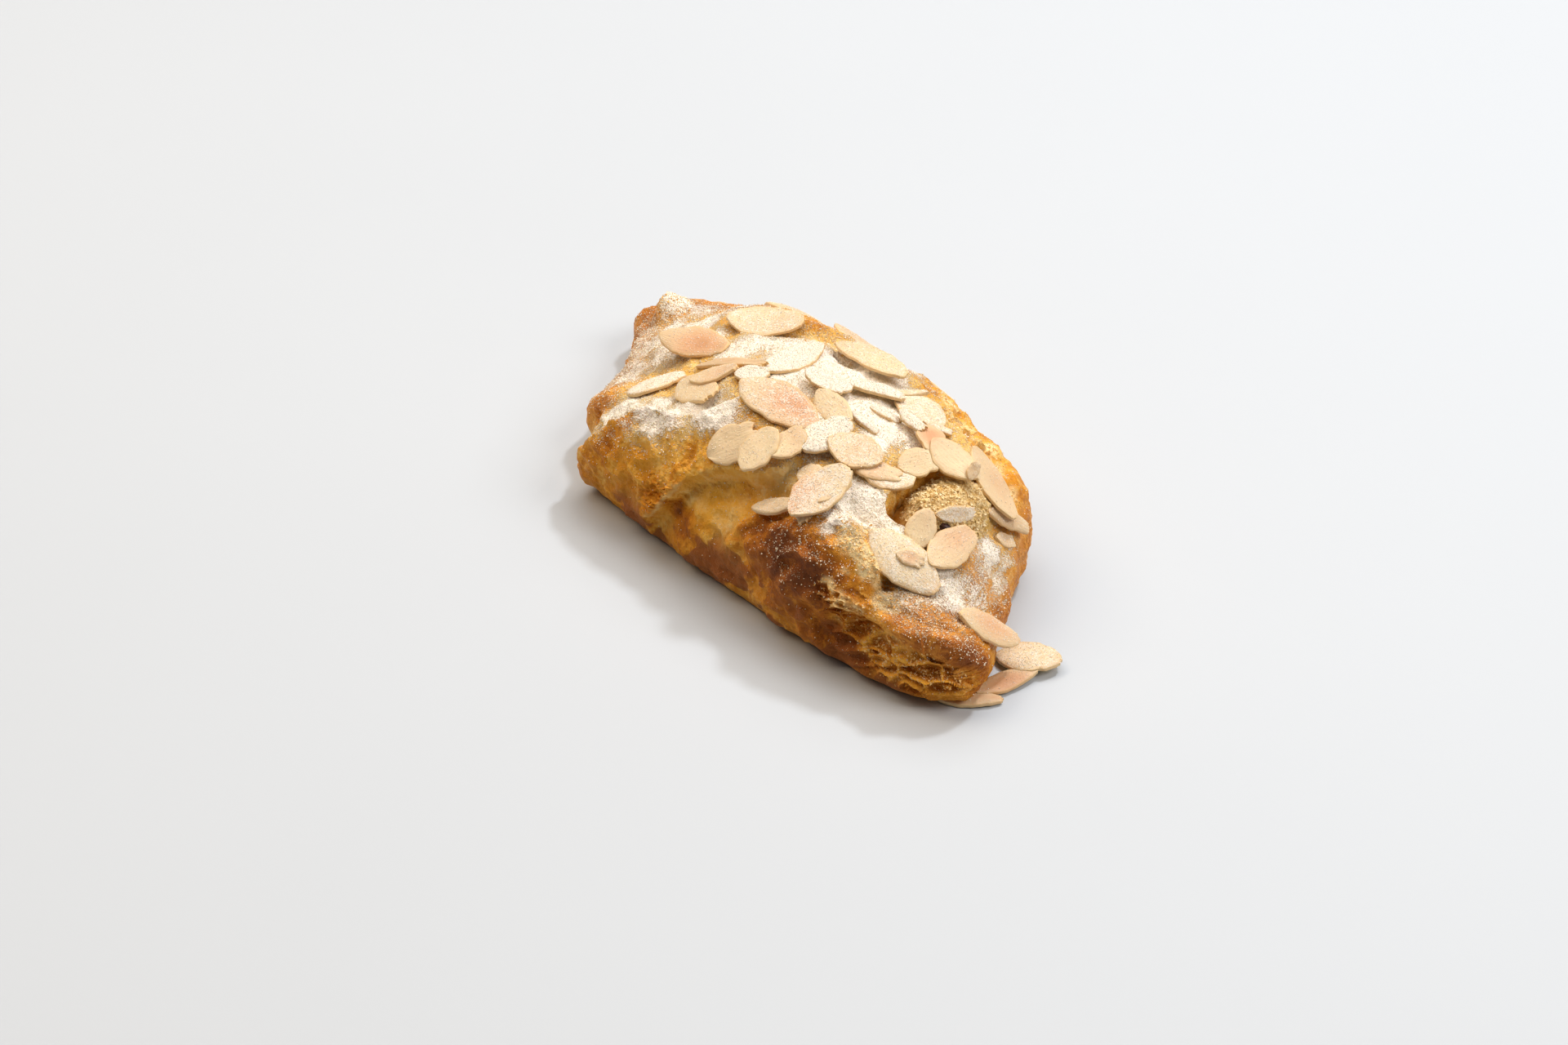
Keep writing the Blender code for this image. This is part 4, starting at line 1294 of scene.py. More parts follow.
FLAKES = (
    Flake(69, -22, 45, 15, 5, 0, 0, 0.3, 0.35, 0.6, 0.0, 0.1, Seat.TABLE),
    Flake(71, -12, 75, 17, 6, 3, 0, 0.3, 0.6, 0.0, -0.4, 0.2, Seat.TABLE),
    Flake(69, -2, 30, 16, 11, 6, 0, 0.3, 0.1, 0.8, 0.0, 0.5, Seat.TABLE),
    Flake(-36, 21, 25, 20, 12, 0, 0, 0.2, 0.35, 0.5, -0.3, 0.5),
    Flake(-3, 22, -5, 24, 8.6, 0, 0, 0.1, 0.2, -0.6, 0.0, 0.45),
    Flake(18, 16, 0, 15, 11, 0, 0, 0.3, 0.25, 0.3, -0.5, 0.6),
    Flake(12, 18, 62, 11, 2.6, 0, 0, 0.7, 0.1, 0.0, 0.0, 0.5),
    Flake(8, 11, 30, 15, 6, 0, 0, 0.5, 0.1, 0.0, 0.0, 0.9),
    Flake(-1, 4, 10, 13, 8, 0, 0, 0.7, 0.05, 0.0, 0.0, 1.0),
    Flake(-16, 9, 90, 20, 10, 0, 0, 0.2, 0.3, 0.6, -0.3, 0.9),
    Flake(-29, 1, 5, 27, 3, 0, 0, 0.6, 0.3, 0.0, 0.0, 0.1),
    Flake(-46, 8, 6, 23, 10, -18, 0, 0.2, 0.7, 0.25, -0.1, 0.3),
    Flake(-45, -7, 60, 16, 8, 0, 0, 0.5, 0.2, 0.5, 0.0, 0.7),
    Flake(-30, -9, -15, 20, 10, 0, 0, 0.4, 0.2, 0.0, 0.6, 0.3),
    Flake(-28, -5, 20, 14, 8, 0, 0, 0.2, 0.35, 0.3, 0.0, 0.3),
    Flake(-18, -3, 30, 9, 6, 0, 0, 0.9, 0.05, 0.0, 0.0, 0.9),
    Flake(7, -2, -15, 14, 7, 0, 30, 0.2, 0.1, 0.0, 0.0, 0.4),
    Flake(12, -10, 85, 15, 9, 0, 0, 0.6, 0.05, 0.0, 0.0, 0.9),
    Flake(-4, -9, 0, 24, 12, 0, 0, 0.1, 0.75, 0.3, 0.25, 0.5),
    Flake(7, -17, 80, 11, 8, 0, 0, 0.5, 0.2, 0.6, 0.0, 0.3),
    Flake(-6, -22, 60, 14, 10, 0, 0, 0.9, 0.08, 0.0, 0.0, 0.2),
    Flake(3, -21, 90, 13, 9, 0, 0, 0.2, 0.1, 0.0, 0.0, 0.3),
    Flake(30, -8, 40, 12, 7, 0, 0, 0.4, 0.35, -0.2, 0.0, 0.6),
    Flake(27, -9, 30, 12, 6, 0, 0, 0.6, 0.35, 0.0, 0.0, 0.3),
    Flake(20, -9, 20, 14, 11, 0, 0, 0.2, 0.35, 0.1, 0.2, 0.5),
    Flake(31, 0, 60, 10, 8, 0, 0, 0.9, 0.15, 0.0, 0.0, 0.3),
    Flake(16, -19, 15, 8, 6, 0, 0, 0.5, 0.15, 0.0, 0.0, 0.4),
    Flake(13, -26, 30, 12, 5, 0, 0, 0.4, 0.15, 0.0, 0.0, 0.4),
    Flake(21, -27, -40, 7, 4, 0, 0, 0.9, 0.3, 0.0, 0.0, 0.2),
    Flake(25, -21, 80, 10, 3, 0, 0, 0.5, 0.4, 0.0, 0.0, 0.2),
    Flake(22, -22, 80, 18, 12, 0, 0, 0.2, 0.55, -0.5, 0.45, 0.6),
    Flake(28, 7, -35, 10, 7, 0, 0, 0.6, 0.7, 0.0, 0.0, 0.1),
    Flake(35, 7, 0, 14, 9, 0, 0, 0.3, 0.15, -0.8, 0.0, 0.2),
    Flake(35, 12, -20, 12, 6, 12, 0, 0.3, 0.25, -0.9, 0.0, 0.1),
    Flake(47, 13, 40, 14, 5, 0, 0, 0.5, 0.35, 0.0, 0.0, 0.3),
    Flake(40.6, 14.2, 2, 20, 10, 0, 0, 0.1, 0.35, 0.1, 0.2, 0.2),
    Flake(46, -3, 56, 12, 4, 0, 15, 0.6, 0.2, 0.0, 0.0, 0.6),
    Flake(42, 7, 120, 5, 3, 30, 0, 0.6, 0.2, 0.0, 0.0, 0.3),
    Flake(44, -13, 120, 11, 7, 20, 0, 0.2, 0.12, 0.7, 0.0, 0.2),
    Flake(46, -21, 0, 21, 11, 0, 0, 0.2, 0.12, 0.9, 0.0, 0.55),
    Flake(50, -10, 95, 17, 9, 0, 0, 0.4, 0.4, 0.4, 0.2, 0.3),
    Flake(48, -21, 25, 7, 4, 0, 0, 0.9, 0.4, 0.0, 0.0, 0.4),
    Flake(50, 10, 60, 7, 4, 0, 0, 0.8, 0.3, 0.0, 0.0, 0.4),
    Flake(65, -13, 55, 20, 9, 6, 0, 0.2, 0.6, 0.1, 0.1, 0.3),
    Flake(-44, 40, 5, 18, 9, 0, 0, 0.2, 0.3, 0.3, 0.0, 0.3),
    Flake(-21, 38, -8, 20, 10, 0, 0, 0.2, 0.4, -0.3, 0.2, 0.3),
    Flake(4, 37, -10, 19, 9, 0, 0, 0.4, 0.2, 0.5, 0.0, 0.3),
    Flake(15, 7, 8, 9, 2.6, 0, 12, 0.7, 0.1, 0.0, 0.0, 0.8),
    Flake(22, 8, -12, 10, 3.4, 0, 18, 0.8, 0.1, 0.0, 0.0, 0.8),
    Flake(14, 1, 0, 9, 3, 0, -10, 0.7, 0.1, 0.0, 0.0, 0.9),
    Flake(25, 14, 30, 8, 2.6, 0, 0, 0.8, 0.1, 0.0, 0.0, 0.6),
    Flake(-66, 41, 5, 13, 7, 0, 0, 0.6, 0.3, 0.0, 0.0, 0.3),
)


@dataclass
class FlakedAlmonds:
    """Every flaked almond, laid on the crust and on the flakes below it."""

    stations: tuple[tuple[float, float], ...] = (
        (0.0, 0.06), (0.1, 0.27), (0.33, 0.48), (0.6, 0.5), (0.84, 0.34), (1.0, 0.1),
    )
    blur: tuple[float, ...] = (-0.035, -0.012, 0.012, 0.035)
    thickness: float = 1.0
    rim_round: float = 0.16
    blank_half_length: float = 8.0
    blank_half_width: float = 4.0
    sink: float = 0.5
    resting_share: float = 0.04
    bend: float = 0.04
    cup: float = 0.035
    bow: float = 0.05
    waves: tuple[tuple[float, float], ...] = ((6.0, 0.3), (1.6, 0.08))
    chips: tuple[tuple[float, float], ...] = ((1.0, 0.07), (0.3, 0.06))
    jags: float = 0.14
    broken_half: float = 0.42
    toast_length: float = 0.85
    rim_toast: float = 0.16
    head_station: float = 0.75
    table_lift: float = 0.75
    ground_samples: tuple[float, ...] = (-0.35, 0.0, 0.35)
    cast_from: float = 25.0
    sky: float = 80.0
    table_reach: float = 300.0

    def blank(self) -> Piece:
        """One flat oblong slip with rounded edges, which every flake is shaped from.

        Returns:
            The slip.
        """
        grid = {"x_subdivisions": 24, "y_subdivisions": 10, "size": 2}
        slip = added(bpy.ops.mesh.primitive_grid_add, "slip", **grid)
        move_to(slip, places_of(slip) * np.array([self.blank_half_length, self.blank_half_width, 1]))
        shell = slip.modifiers.new("thickness", "SOLIDIFY")
        shell.thickness = self.thickness
        shell.offset = 1.0
        rim = slip.modifiers.new("rim", "BEVEL")
        rim.width = self.rim_round
        rim.segments = 2
        rim.limit_method = "ANGLE"
        rim.angle_limit = math.radians(40)
        apply_all(slip)
        return slip

    def half_width_at(self, share: Array, blunt: float) -> Array:
        """Half width at a share of the length, as a share of the width.

        Args:
            share: Places along the flake, from 0 to 1.
            blunt: How far its head is broken off.

        Returns:
            The half width at each.
        """
        stations, halves = np.array(self.stations).T
        half = np.mean([np.interp(share + offset, stations, halves) for offset in self.blur], axis=0)
        broken = half + (self.broken_half - half) * blunt
        return np.where(share > self.head_station, np.maximum(half, broken), half)

    def shares_of(self, slip: Array) -> tuple[Array, Array]:
        """Each point's place along and across the slip, from -1 to 1."""
        return slip[:, 0] / self.blank_half_length, slip[:, 1] / self.blank_half_width

    def shaped(self, slip: Array, flake: Flake, number: int) -> Array:
        """The slip's points moved to one flake lying on the origin along X.

        Args:
            slip: The slip's points.
            flake: The flake's size and ends.
            number: Its place in the list, which sets its curl and waves.

        Returns:
            The flake's points.
        """
        u, v = self.shares_of(slip)
        share = (u + 1) / 2
        x, y = self.outlined(u, v, share, flake, number)
        thin = 1 - 0.25 * np.maximum(np.abs(v), np.abs(u)) ** 6
        curl = self.bend * math.sin(2.4 * number) * flake.length * u**2
        curl += self.cup * math.sin(5.1 * number) * flake.width * v**2
        flat = np.stack([x, y, np.full(len(x), 3.1 * number)], axis=1)
        wave = sum(height * noise_at(flat, size) for size, height in self.waves)
        return np.stack([x, y, slip[:, 2] * thin + curl + wave], axis=1)

    def outlined(self, u: Array, v: Array, share: Array, flake: Flake, number: int) -> tuple[Array, Array]:
        """One flake's outline, with a bow along it, chipped sides and a jagged head.

        Args:
            u: Shares of the half length.
            v: Shares of the half width.
            share: Shares of the whole length.
            flake: Its size and ends.
            number: Its place in the list, which sets its chips.

        Returns:
            The places along it and across it.
        """
        half = self.half_width_at(share, flake.blunt) * flake.width
        edge = np.stack([3.2 * share, np.sign(v) * 2, np.full(len(u), 0.37 * number)], axis=1)
        chips = 1 + sum(depth * noise_at(edge, size) for size, depth in self.chips)
        y = v * half * chips + self.bow * flake.length * math.sin(1.9 * number) * (1 - u**2) * 0.5
        head = np.stack([3.0 * v, np.full(len(u), 0.9 * number), np.zeros(len(u))], axis=1)
        jagged = self.jags * flake.length * flake.blunt * noise_at(head, 1.0) * smooth_step(share * 3 - 2)
        tip = 0.3 * self.half_width_at(np.clip(np.round(share), 0, 1), flake.blunt) * flake.width
        tip *= np.where(u > 0, 1 - 0.7 * flake.blunt, 1.0)
        x = flake.length * (share - 0.5) * (1 - 0.1 * flake.blunt) - np.sign(u) * tip * v**2 * u**6 + jagged
        return x, y

    def cast_down(self, trees: list[BVHTree], start: Vector, way: Vector) -> tuple[float, Vector] | None:
        """The nearest hit over every tree.

        Args:
            trees: What the flake may rest on.
            start: Where the look starts.
            way: Its direction.

        Returns:
            The distance and the normal there, or None.
        """
        best = None
        for tree in trees:
            _, normal, _, distance = tree.ray_cast(start, way)
            if distance is not None and (best is None or distance < best[0]):
                best = (distance, normal)
        return best

    def ground_normal(self, trees: list[BVHTree], flake: Flake) -> Vector:
        """Mean normal of what lies under a flake.

        Args:
            trees: What the flake may rest on.
            flake: The flake.

        Returns:
            The normal, of length 1.
        """
        total = Vector((0, 0, 0))
        for along in self.ground_samples:
            for across in self.ground_samples:
                x = flake.x + along * flake.width
                y = flake.y + across * flake.width
                hit = self.cast_down(trees, Vector((x, y, self.sky)), -UP)
                total += UP if hit is None else hit[1]
        return total.normalized()

    def laid(self, trees: list[BVHTree], flat: Array, under: Array, flake: Flake) -> Array:
        """The flake's points where it rests.

        Args:
            trees: What it may rest on.
            flat: Its points, lying on the origin.
            under: Which of them are on its underside.
            flake: Its place and turn.

        Returns:
            Its points in place, in millimetres.
        """
        up = self.ground_normal(trees, flake)
        turn = math.radians(flake.heading)
        along = Vector((math.cos(turn), math.sin(turn), 0))
        along = (along - up * along.dot(up)).normalized()
        pose = Matrix((along, up.cross(along), up)).transposed()
        pose = pose @ Matrix.Rotation(math.radians(-flake.pitch), 3, "Y")
        pose = pose @ Matrix.Rotation(math.radians(flake.roll), 3, "X")
        ground = self.cast_down(trees, Vector((flake.x, flake.y, self.sky)), -UP)
        origin = np.array([flake.x, flake.y, self.sky - ground[0]])
        placed = origin + flat @ np.array(pose).T
        gaps = []
        for place in placed[under]:
            hit = self.cast_down(trees, Vector(place) + up * self.cast_from, -up)
            if hit is not None:
                gaps.append(hit[0] - self.cast_from)
        drop = float(np.quantile(gaps, self.resting_share)) + self.sink
        return placed - np.array(up) * drop

    def table(self) -> BVHTree:
        """The level that fallen flakes lie on.

        Returns:
            A search tree over it.
        """
        signs = np.array([(-1, -1), (1, -1), (1, 1), (-1, 1)], float) * self.table_reach
        corners = np.column_stack([signs, np.full(4, self.table_lift)])
        return tree_of(corners, np.array([[0, 1, 2, 3]]))

    def dress(self, obj: Piece, slip: Array, flake: Flake, number: int) -> None:
        """Stores one flake's toast, rim, sugar and tone on its vertices; the rim is partly toasted edge,
        partly painted shade on the sides and underside.

        Args:
            obj: The flake's object.
            slip: The slip's points.
            flake: How it is toasted and sugared.
            number: Its place in the list, which sets its tone.
        """
        u, v = self.shares_of(slip)
        apart = np.hypot((u - flake.toast_along) / self.toast_length, v - flake.toast_across)
        outer = np.maximum(np.abs(v), np.abs(u) ** 1.5)
        side = smooth_step((outer - 0.9) / 0.1)
        upper = (slip[:, 2] > 0.5 * self.thickness).astype(float)
        masks = {
            "toast": np.clip(flake.toast * bell(apart, 1.0) + self.rim_toast * outer**4, 0, 1),
            # Rim covers the sides and underside: partly toasted edge, partly painted shade.
            "rim": np.maximum(side * 0.8, 1 - upper),
            "along": 0.5 * flake.length * u,
            "across": 0.5 * flake.width * v + 9.0 * number,
            "sugar": 0.8 * flake.sugar * upper * (1 - 0.5 * side),
            "tone": np.full(len(u), 0.5 + 0.5 * math.sin(7.7 * number)),
        }
        for name, values in masks.items():
            write_mask(obj, name, values)

    def build(self, crust: Piece, filling: Piece) -> Piece:
        """All the flakes as one piece, in millimetres.

        Args:
            crust: The crust, in millimetres.
            filling: The filling, in millimetres.

        Returns:
            The joined flakes.
        """
        blank = self.blank()
        slip = places_of(blank)
        faces = triangles_of(blank)
        under = slip[:, 2] < 0.1
        ground = [tree_of(places_of(part), triangles_of(part)) for part in (crust, filling)]
        trees = [self.table()]
        parts = []
        for number, flake in enumerate(FLAKES):
            if flake.seat is Seat.CRUST and len(ground):
                trees += ground
                ground = []
            places = self.laid(trees, self.shaped(slip, flake, number), under, flake)
            trees.append(tree_of(places, faces))
            part = copy_of(blank, "flake")
            move_to(part, places)
            self.dress(part, slip, flake, number)
            parts.append(part)
        bpy.data.objects.remove(blank)
        flakes = join_all(parts, "flaked_almonds")
        soften(flakes, 60)
        return flakes


# Sugar and crumbs.


@dataclass
class Scatter:
    """Small grains strewn over a piece by a mask, as one mesh."""

    name: str
    mask: str
    count: int
    smallest: float
    largest: float
    seed: int
    flatness: float = 1.0
    facing: float = 0.15
    sink: float = 0.1
    contrast: float = 1.6
    small_share: float = 2.2
    flat_below: float = 0.7

    def grain(self) -> tuple[Array, Array]:
        """The places and faces of one grain, as wide as 1.

        Returns:
            The places and the faces.
        """
        crystal = added(bpy.ops.mesh.primitive_cone_add, "crystal", vertices=3, radius1=0.55, depth=0.85)
        places, faces = places_of(crystal), triangles_of(crystal)
        bpy.data.objects.remove(crystal)
        return places, faces

    def build(self, ground: Piece) -> Piece:
        """The strewn grains, in millimetres.

        Args:
            ground: The piece they lie on, which stores the mask.

        Returns:
            The grains as one object.
        """
        rng = np.random.default_rng(self.seed)
        middle, normal = self.strewn(rng, ground)
        size = self.smallest + (self.largest - self.smallest) * rng.random(self.count) ** self.small_share
        middle += normal * (size * (0.5 * self.flatness - self.sink))[:, None]
        grain, grain_faces = self.grain()
        jitter = rng.uniform(0.75, 1.2, (self.count, len(grain), 1)) * size[:, None, None]
        axes = self.turns(rng, normal)
        shaped = grain[None] * jitter * np.array([1, 1, self.flatness])
        corners = middle[:, None] + np.einsum("nvk,nkj->nvj", shaped, axes)
        numbers = grain_faces[None] + len(grain) * np.arange(self.count)[:, None, None]
        return new_mesh(self.name, corners.reshape(-1, 3), numbers.reshape(-1, 3))

    def strewn(self, rng: np.random.Generator, ground: Piece) -> tuple[Array, Array]:
        """Places drawn over the piece, thicker where its mask is stronger.

        Args:
            rng: The source of the draws.
            ground: The piece.

        Returns:
            The places and the normals there.
        """
        places, faces = places_of(ground), triangles_of(ground)
        a, b, c = (places[faces[:, k]] for k in range(3))
        cross = np.cross(b - a, c - a)
        area = np.linalg.norm(cross, axis=1)
        normal = cross / np.maximum(area, 1e-12)[:, None]
        mask = read_mask(ground, self.mask)[faces].mean(axis=1)
        weight = area * np.clip(mask, 0, 1) ** self.contrast * (normal[:, 2] > self.facing)
        chosen = rng.choice(len(faces), self.count, p=weight / weight.sum())
        s, t = rng.random(self.count), rng.random(self.count)
        over = s + t > 1
        s[over], t[over] = 1 - s[over], 1 - t[over]
        middle = a[chosen] + s[:, None] * (b - a)[chosen] + t[:, None] * (c - a)[chosen]
        return middle, normal[chosen]

    def turns(self, rng: np.random.Generator, normal: Array) -> Array:
        """A random turn for each grain, keeping flat grains along the surface.

        Args:
            rng: The source of the draws.
            normal: The normal under each grain.

        Returns:
            Three axes for each grain.
        """
        loose = 0.35 if self.flatness < self.flat_below else 2.0
        up = normal + loose * rng.normal(size=normal.shape) * 0.5
        up /= np.linalg.norm(up, axis=1)[:, None]
        side = np.cross(up, rng.normal(size=normal.shape))
        side /= np.linalg.norm(side, axis=1)[:, None]
        return np.stack([side, np.cross(up, side), up], axis=1)


# Finishes.


class Recipe:
    """A node tree with short calls to add nodes and join them."""

    def __init__(self, tree: Group) -> None:
        """Starts on an empty tree."""
        self.tree = tree

    def add(self, kind: str, **settings: object) -> Node:
        """Adds a node and sets its properties.

        Args:
            kind: The kind of node.
            settings: Its properties.

        Returns:
            The node.
        """
        node = self.tree.nodes.new(kind)
        for name, value in settings.items():
            setattr(node, name, value)
        return node

    def feed(self, node: Node, socket: str | int, source: object) -> None:
        """Joins an output to a socket, or sets the socket to a plain value.

        Args:
            node: The node.
            socket: The socket's name or number.
            source: What goes into it.
        """
        if isinstance(source, Socket):
            self.tree.links.new(source, node.inputs[socket])
        else:
            node.inputs[socket].default_value = source

    def math(self, operation: str, *sources: object, clamp: bool = False) -> Socket:
        """The result of a Math node.

        Args:
            operation: What it works out.
            sources: What it works on.
            clamp: Whether it is held from 0 to 1.

        Returns:
            The result.
        """
        node = self.add("ShaderNodeMath", operation=operation, use_clamp=clamp)
        for index, source in enumerate(sources):
            self.feed(node, index, source)
        return node.outputs[0]

    def times(self, source: object, factor: object) -> Socket:
        """A value times another."""
        return self.math("MULTIPLY", source, factor)

    def plus(self, base: object, source: object, factor: object) -> Socket:
        """A value with a share of another added."""
        return self.math("MULTIPLY_ADD", source, factor, base)

    def centred(self, source: object) -> Socket:
        """A value from 0 to 1 moved to lie round 0."""
        return self.math("SUBTRACT", source, 0.5)

    def mix(self, share: object, first: object, second: object) -> Socket:
        """One colour mixed into another.

        Args:
            share: How much of the second.
            first: One colour.
            second: The other.

        Returns:
            The mixed colour.
        """
        node = self.add("ShaderNodeMix", data_type="RGBA")
        self.feed(node, 0, share)
        for index, source in ((6, first), (7, second)):
            self.feed(node, index, (*source, 1) if isinstance(source, tuple) else source)
        return node.outputs[2]

    def ramp(self, source: object, stops: Sequence[tuple[float, Colour]]) -> Socket:
        """Colours along a value from 0 to 1.

        Args:
            source: The value.
            stops: Colours and their places.

        Returns:
            The colour.
        """
        node = self.add("ShaderNodeValToRGB")
        elements = node.color_ramp.elements
        while len(elements) < len(stops):
            elements.new(0.5)
        for element, (place, colour) in zip(elements, stops):
            element.position = place
            element.color = (*colour, 1)
        self.feed(node, 0, source)
        return node.outputs[0]

    def range(self, source: object, low: float, high: float) -> Socket:
        """How far a value is from low to high, as a smooth rise from 0 to 1.

        Args:
            source: The value.
            low: Where it gives 0.
            high: Where it gives 1.

        Returns:
            The share.
        """
        node = self.add("ShaderNodeMapRange", interpolation_type="SMOOTHSTEP")
        for index, value in enumerate((source, low, high)):
            self.feed(node, index, value)
        return node.outputs[0]

    def noise(self, where: object, scale: float, detail: float = 3.0, rough: float = 0.55) -> object:
        """Noise between 0 and 1, in lumps per metre.

        Args:
            where: The place on the object.
            scale: Lumps per metre.
            detail: How many finer layers.
            rough: How strong they are.

        Returns:
            The noise.
        """
        node = self.add("ShaderNodeTexNoise")
        settings = {"Vector": where, "Scale": scale, "Detail": detail, "Roughness": rough}
        for name, value in settings.items():
            self.feed(node, name, value)
        return node.outputs["Fac"]

    def mask(self, name: str) -> Socket:
        """A number stored on the piece's vertices."""
        return self.add("ShaderNodeAttribute", attribute_name=name).outputs["Fac"]

    def object_place(self) -> Socket:
        """The place on the object, in metres."""
        return self.add("ShaderNodeTexCoord").outputs["Object"]

    def bump(self, height: object, strength: float, distance: float) -> Socket:
        """A normal tilted by a height, in metres.

        Args:
            height: The height, from 0 to 1.
            strength: How far the tilt counts.
            distance: The height of 1.

        Returns:
            The normal.
        """
        node = self.add("ShaderNodeBump")
        for name, value in {"Strength": strength, "Distance": distance, "Height": height}.items():
            self.feed(node, name, value)
        return node.outputs[0]

    def group(self, tree: Group, **sources: object) -> Socket:
        """The result of a shared group with its inputs fed.

        Args:
            tree: The group.
            sources: What its inputs get, by name.

        Returns:
            Its result.
        """
        node = self.add("ShaderNodeGroup", node_tree=tree)
        for name, source in sources.items():
            self.feed(node, name.capitalize(), source)
        return node.outputs[0]


def new_group(name: str, inputs: Sequence[str], output: str) -> tuple[Recipe, object, object]:
    """An empty shared group of number sockets.

    Args:
        name: What it is called.
        inputs: Its inputs.
        output: Its one result.

    Returns:
        Its recipe, its input node's outputs and its output node's inputs.
    """
    tree = bpy.data.node_groups.new(name, "ShaderNodeTree")
    for label, way in (*((label, "INPUT") for label in inputs), (output, "OUTPUT")):
        tree.interface.new_socket(name=label, in_out=way, socket_type="NodeSocketFloat")
    recipe = Recipe(tree)
    given = recipe.add("NodeGroupInput").outputs
    result = recipe.add("NodeGroupOutput").inputs
    return recipe, given, result


def mottle_group() -> Group:
    """A value made uneven in patches, specks and a net of pale veins.

    Returns:
        The group.
    """
    recipe, given, result = new_group("mottle", ("Value", "Patches", "Specks", "Veins"), "Value")
    where = recipe.object_place()
    patches = recipe.centred(recipe.noise(where, scale=120, detail=5.0, rough=0.65))
    specks = recipe.centred(recipe.noise(where, scale=1100, detail=4.0, rough=0.7))
    folded = recipe.centred(recipe.noise(where, scale=105, detail=4.0, rough=0.62))
    veins = recipe.range(recipe.math("ABSOLUTE", folded), low=0.045, high=0.0)
    total = recipe.plus(given["Value"], patches, given["Patches"])
    total = recipe.plus(total, specks, given["Specks"])
    total = recipe.math("SUBTRACT", total, recipe.times(veins, given["Veins"]), clamp=True)
    recipe.tree.links.new(total, result["Value"])
    return recipe.tree


def dusting_group() -> Group:
    """How far powder hides what it lies on, from how thickly it was strewn.

    Returns:
        The group.
    """
    recipe, given, result = new_group("sugar_dusting", ("Amount",), "Cover")
    where = recipe.object_place()
    drift = recipe.noise(where, scale=420, rough=0.6)
    grain = recipe.noise(where, scale=2600, detail=2.0, rough=0.7)
    texture = recipe.plus(recipe.times(drift, 0.3), grain, 0.7)
    level = recipe.plus(texture, given["Amount"], 0.5)
    recipe.tree.links.new(recipe.range(level, low=0.66, high=0.84), result["Cover"])
    return recipe.tree


def new_finish(name: str) -> tuple[Material, Recipe, Node]:
    """An empty material.

    Args:
        name: What it is called.

    Returns:
        The material, its recipe and its shader.
    """
    material = bpy.data.materials.new(name)
    material.use_nodes = True
    return material, Recipe(material.node_tree), material.node_tree.nodes["Principled BSDF"]


@dataclass(frozen=True)
class Depth:
    """How light soaks into a surface: how much, how far in each colour, and the unit of that in metres."""

    share: float
    colours: Colour
    unit: float = 0.0012

    def give(self, shader: Node) -> None:
        """Sets the shader's subsurface values."""
        for name, value in {"Weight": self.share, "Radius": self.colours, "Scale": self.unit}.items():
            shader.inputs[f"Subsurface {name}"].default_value = value


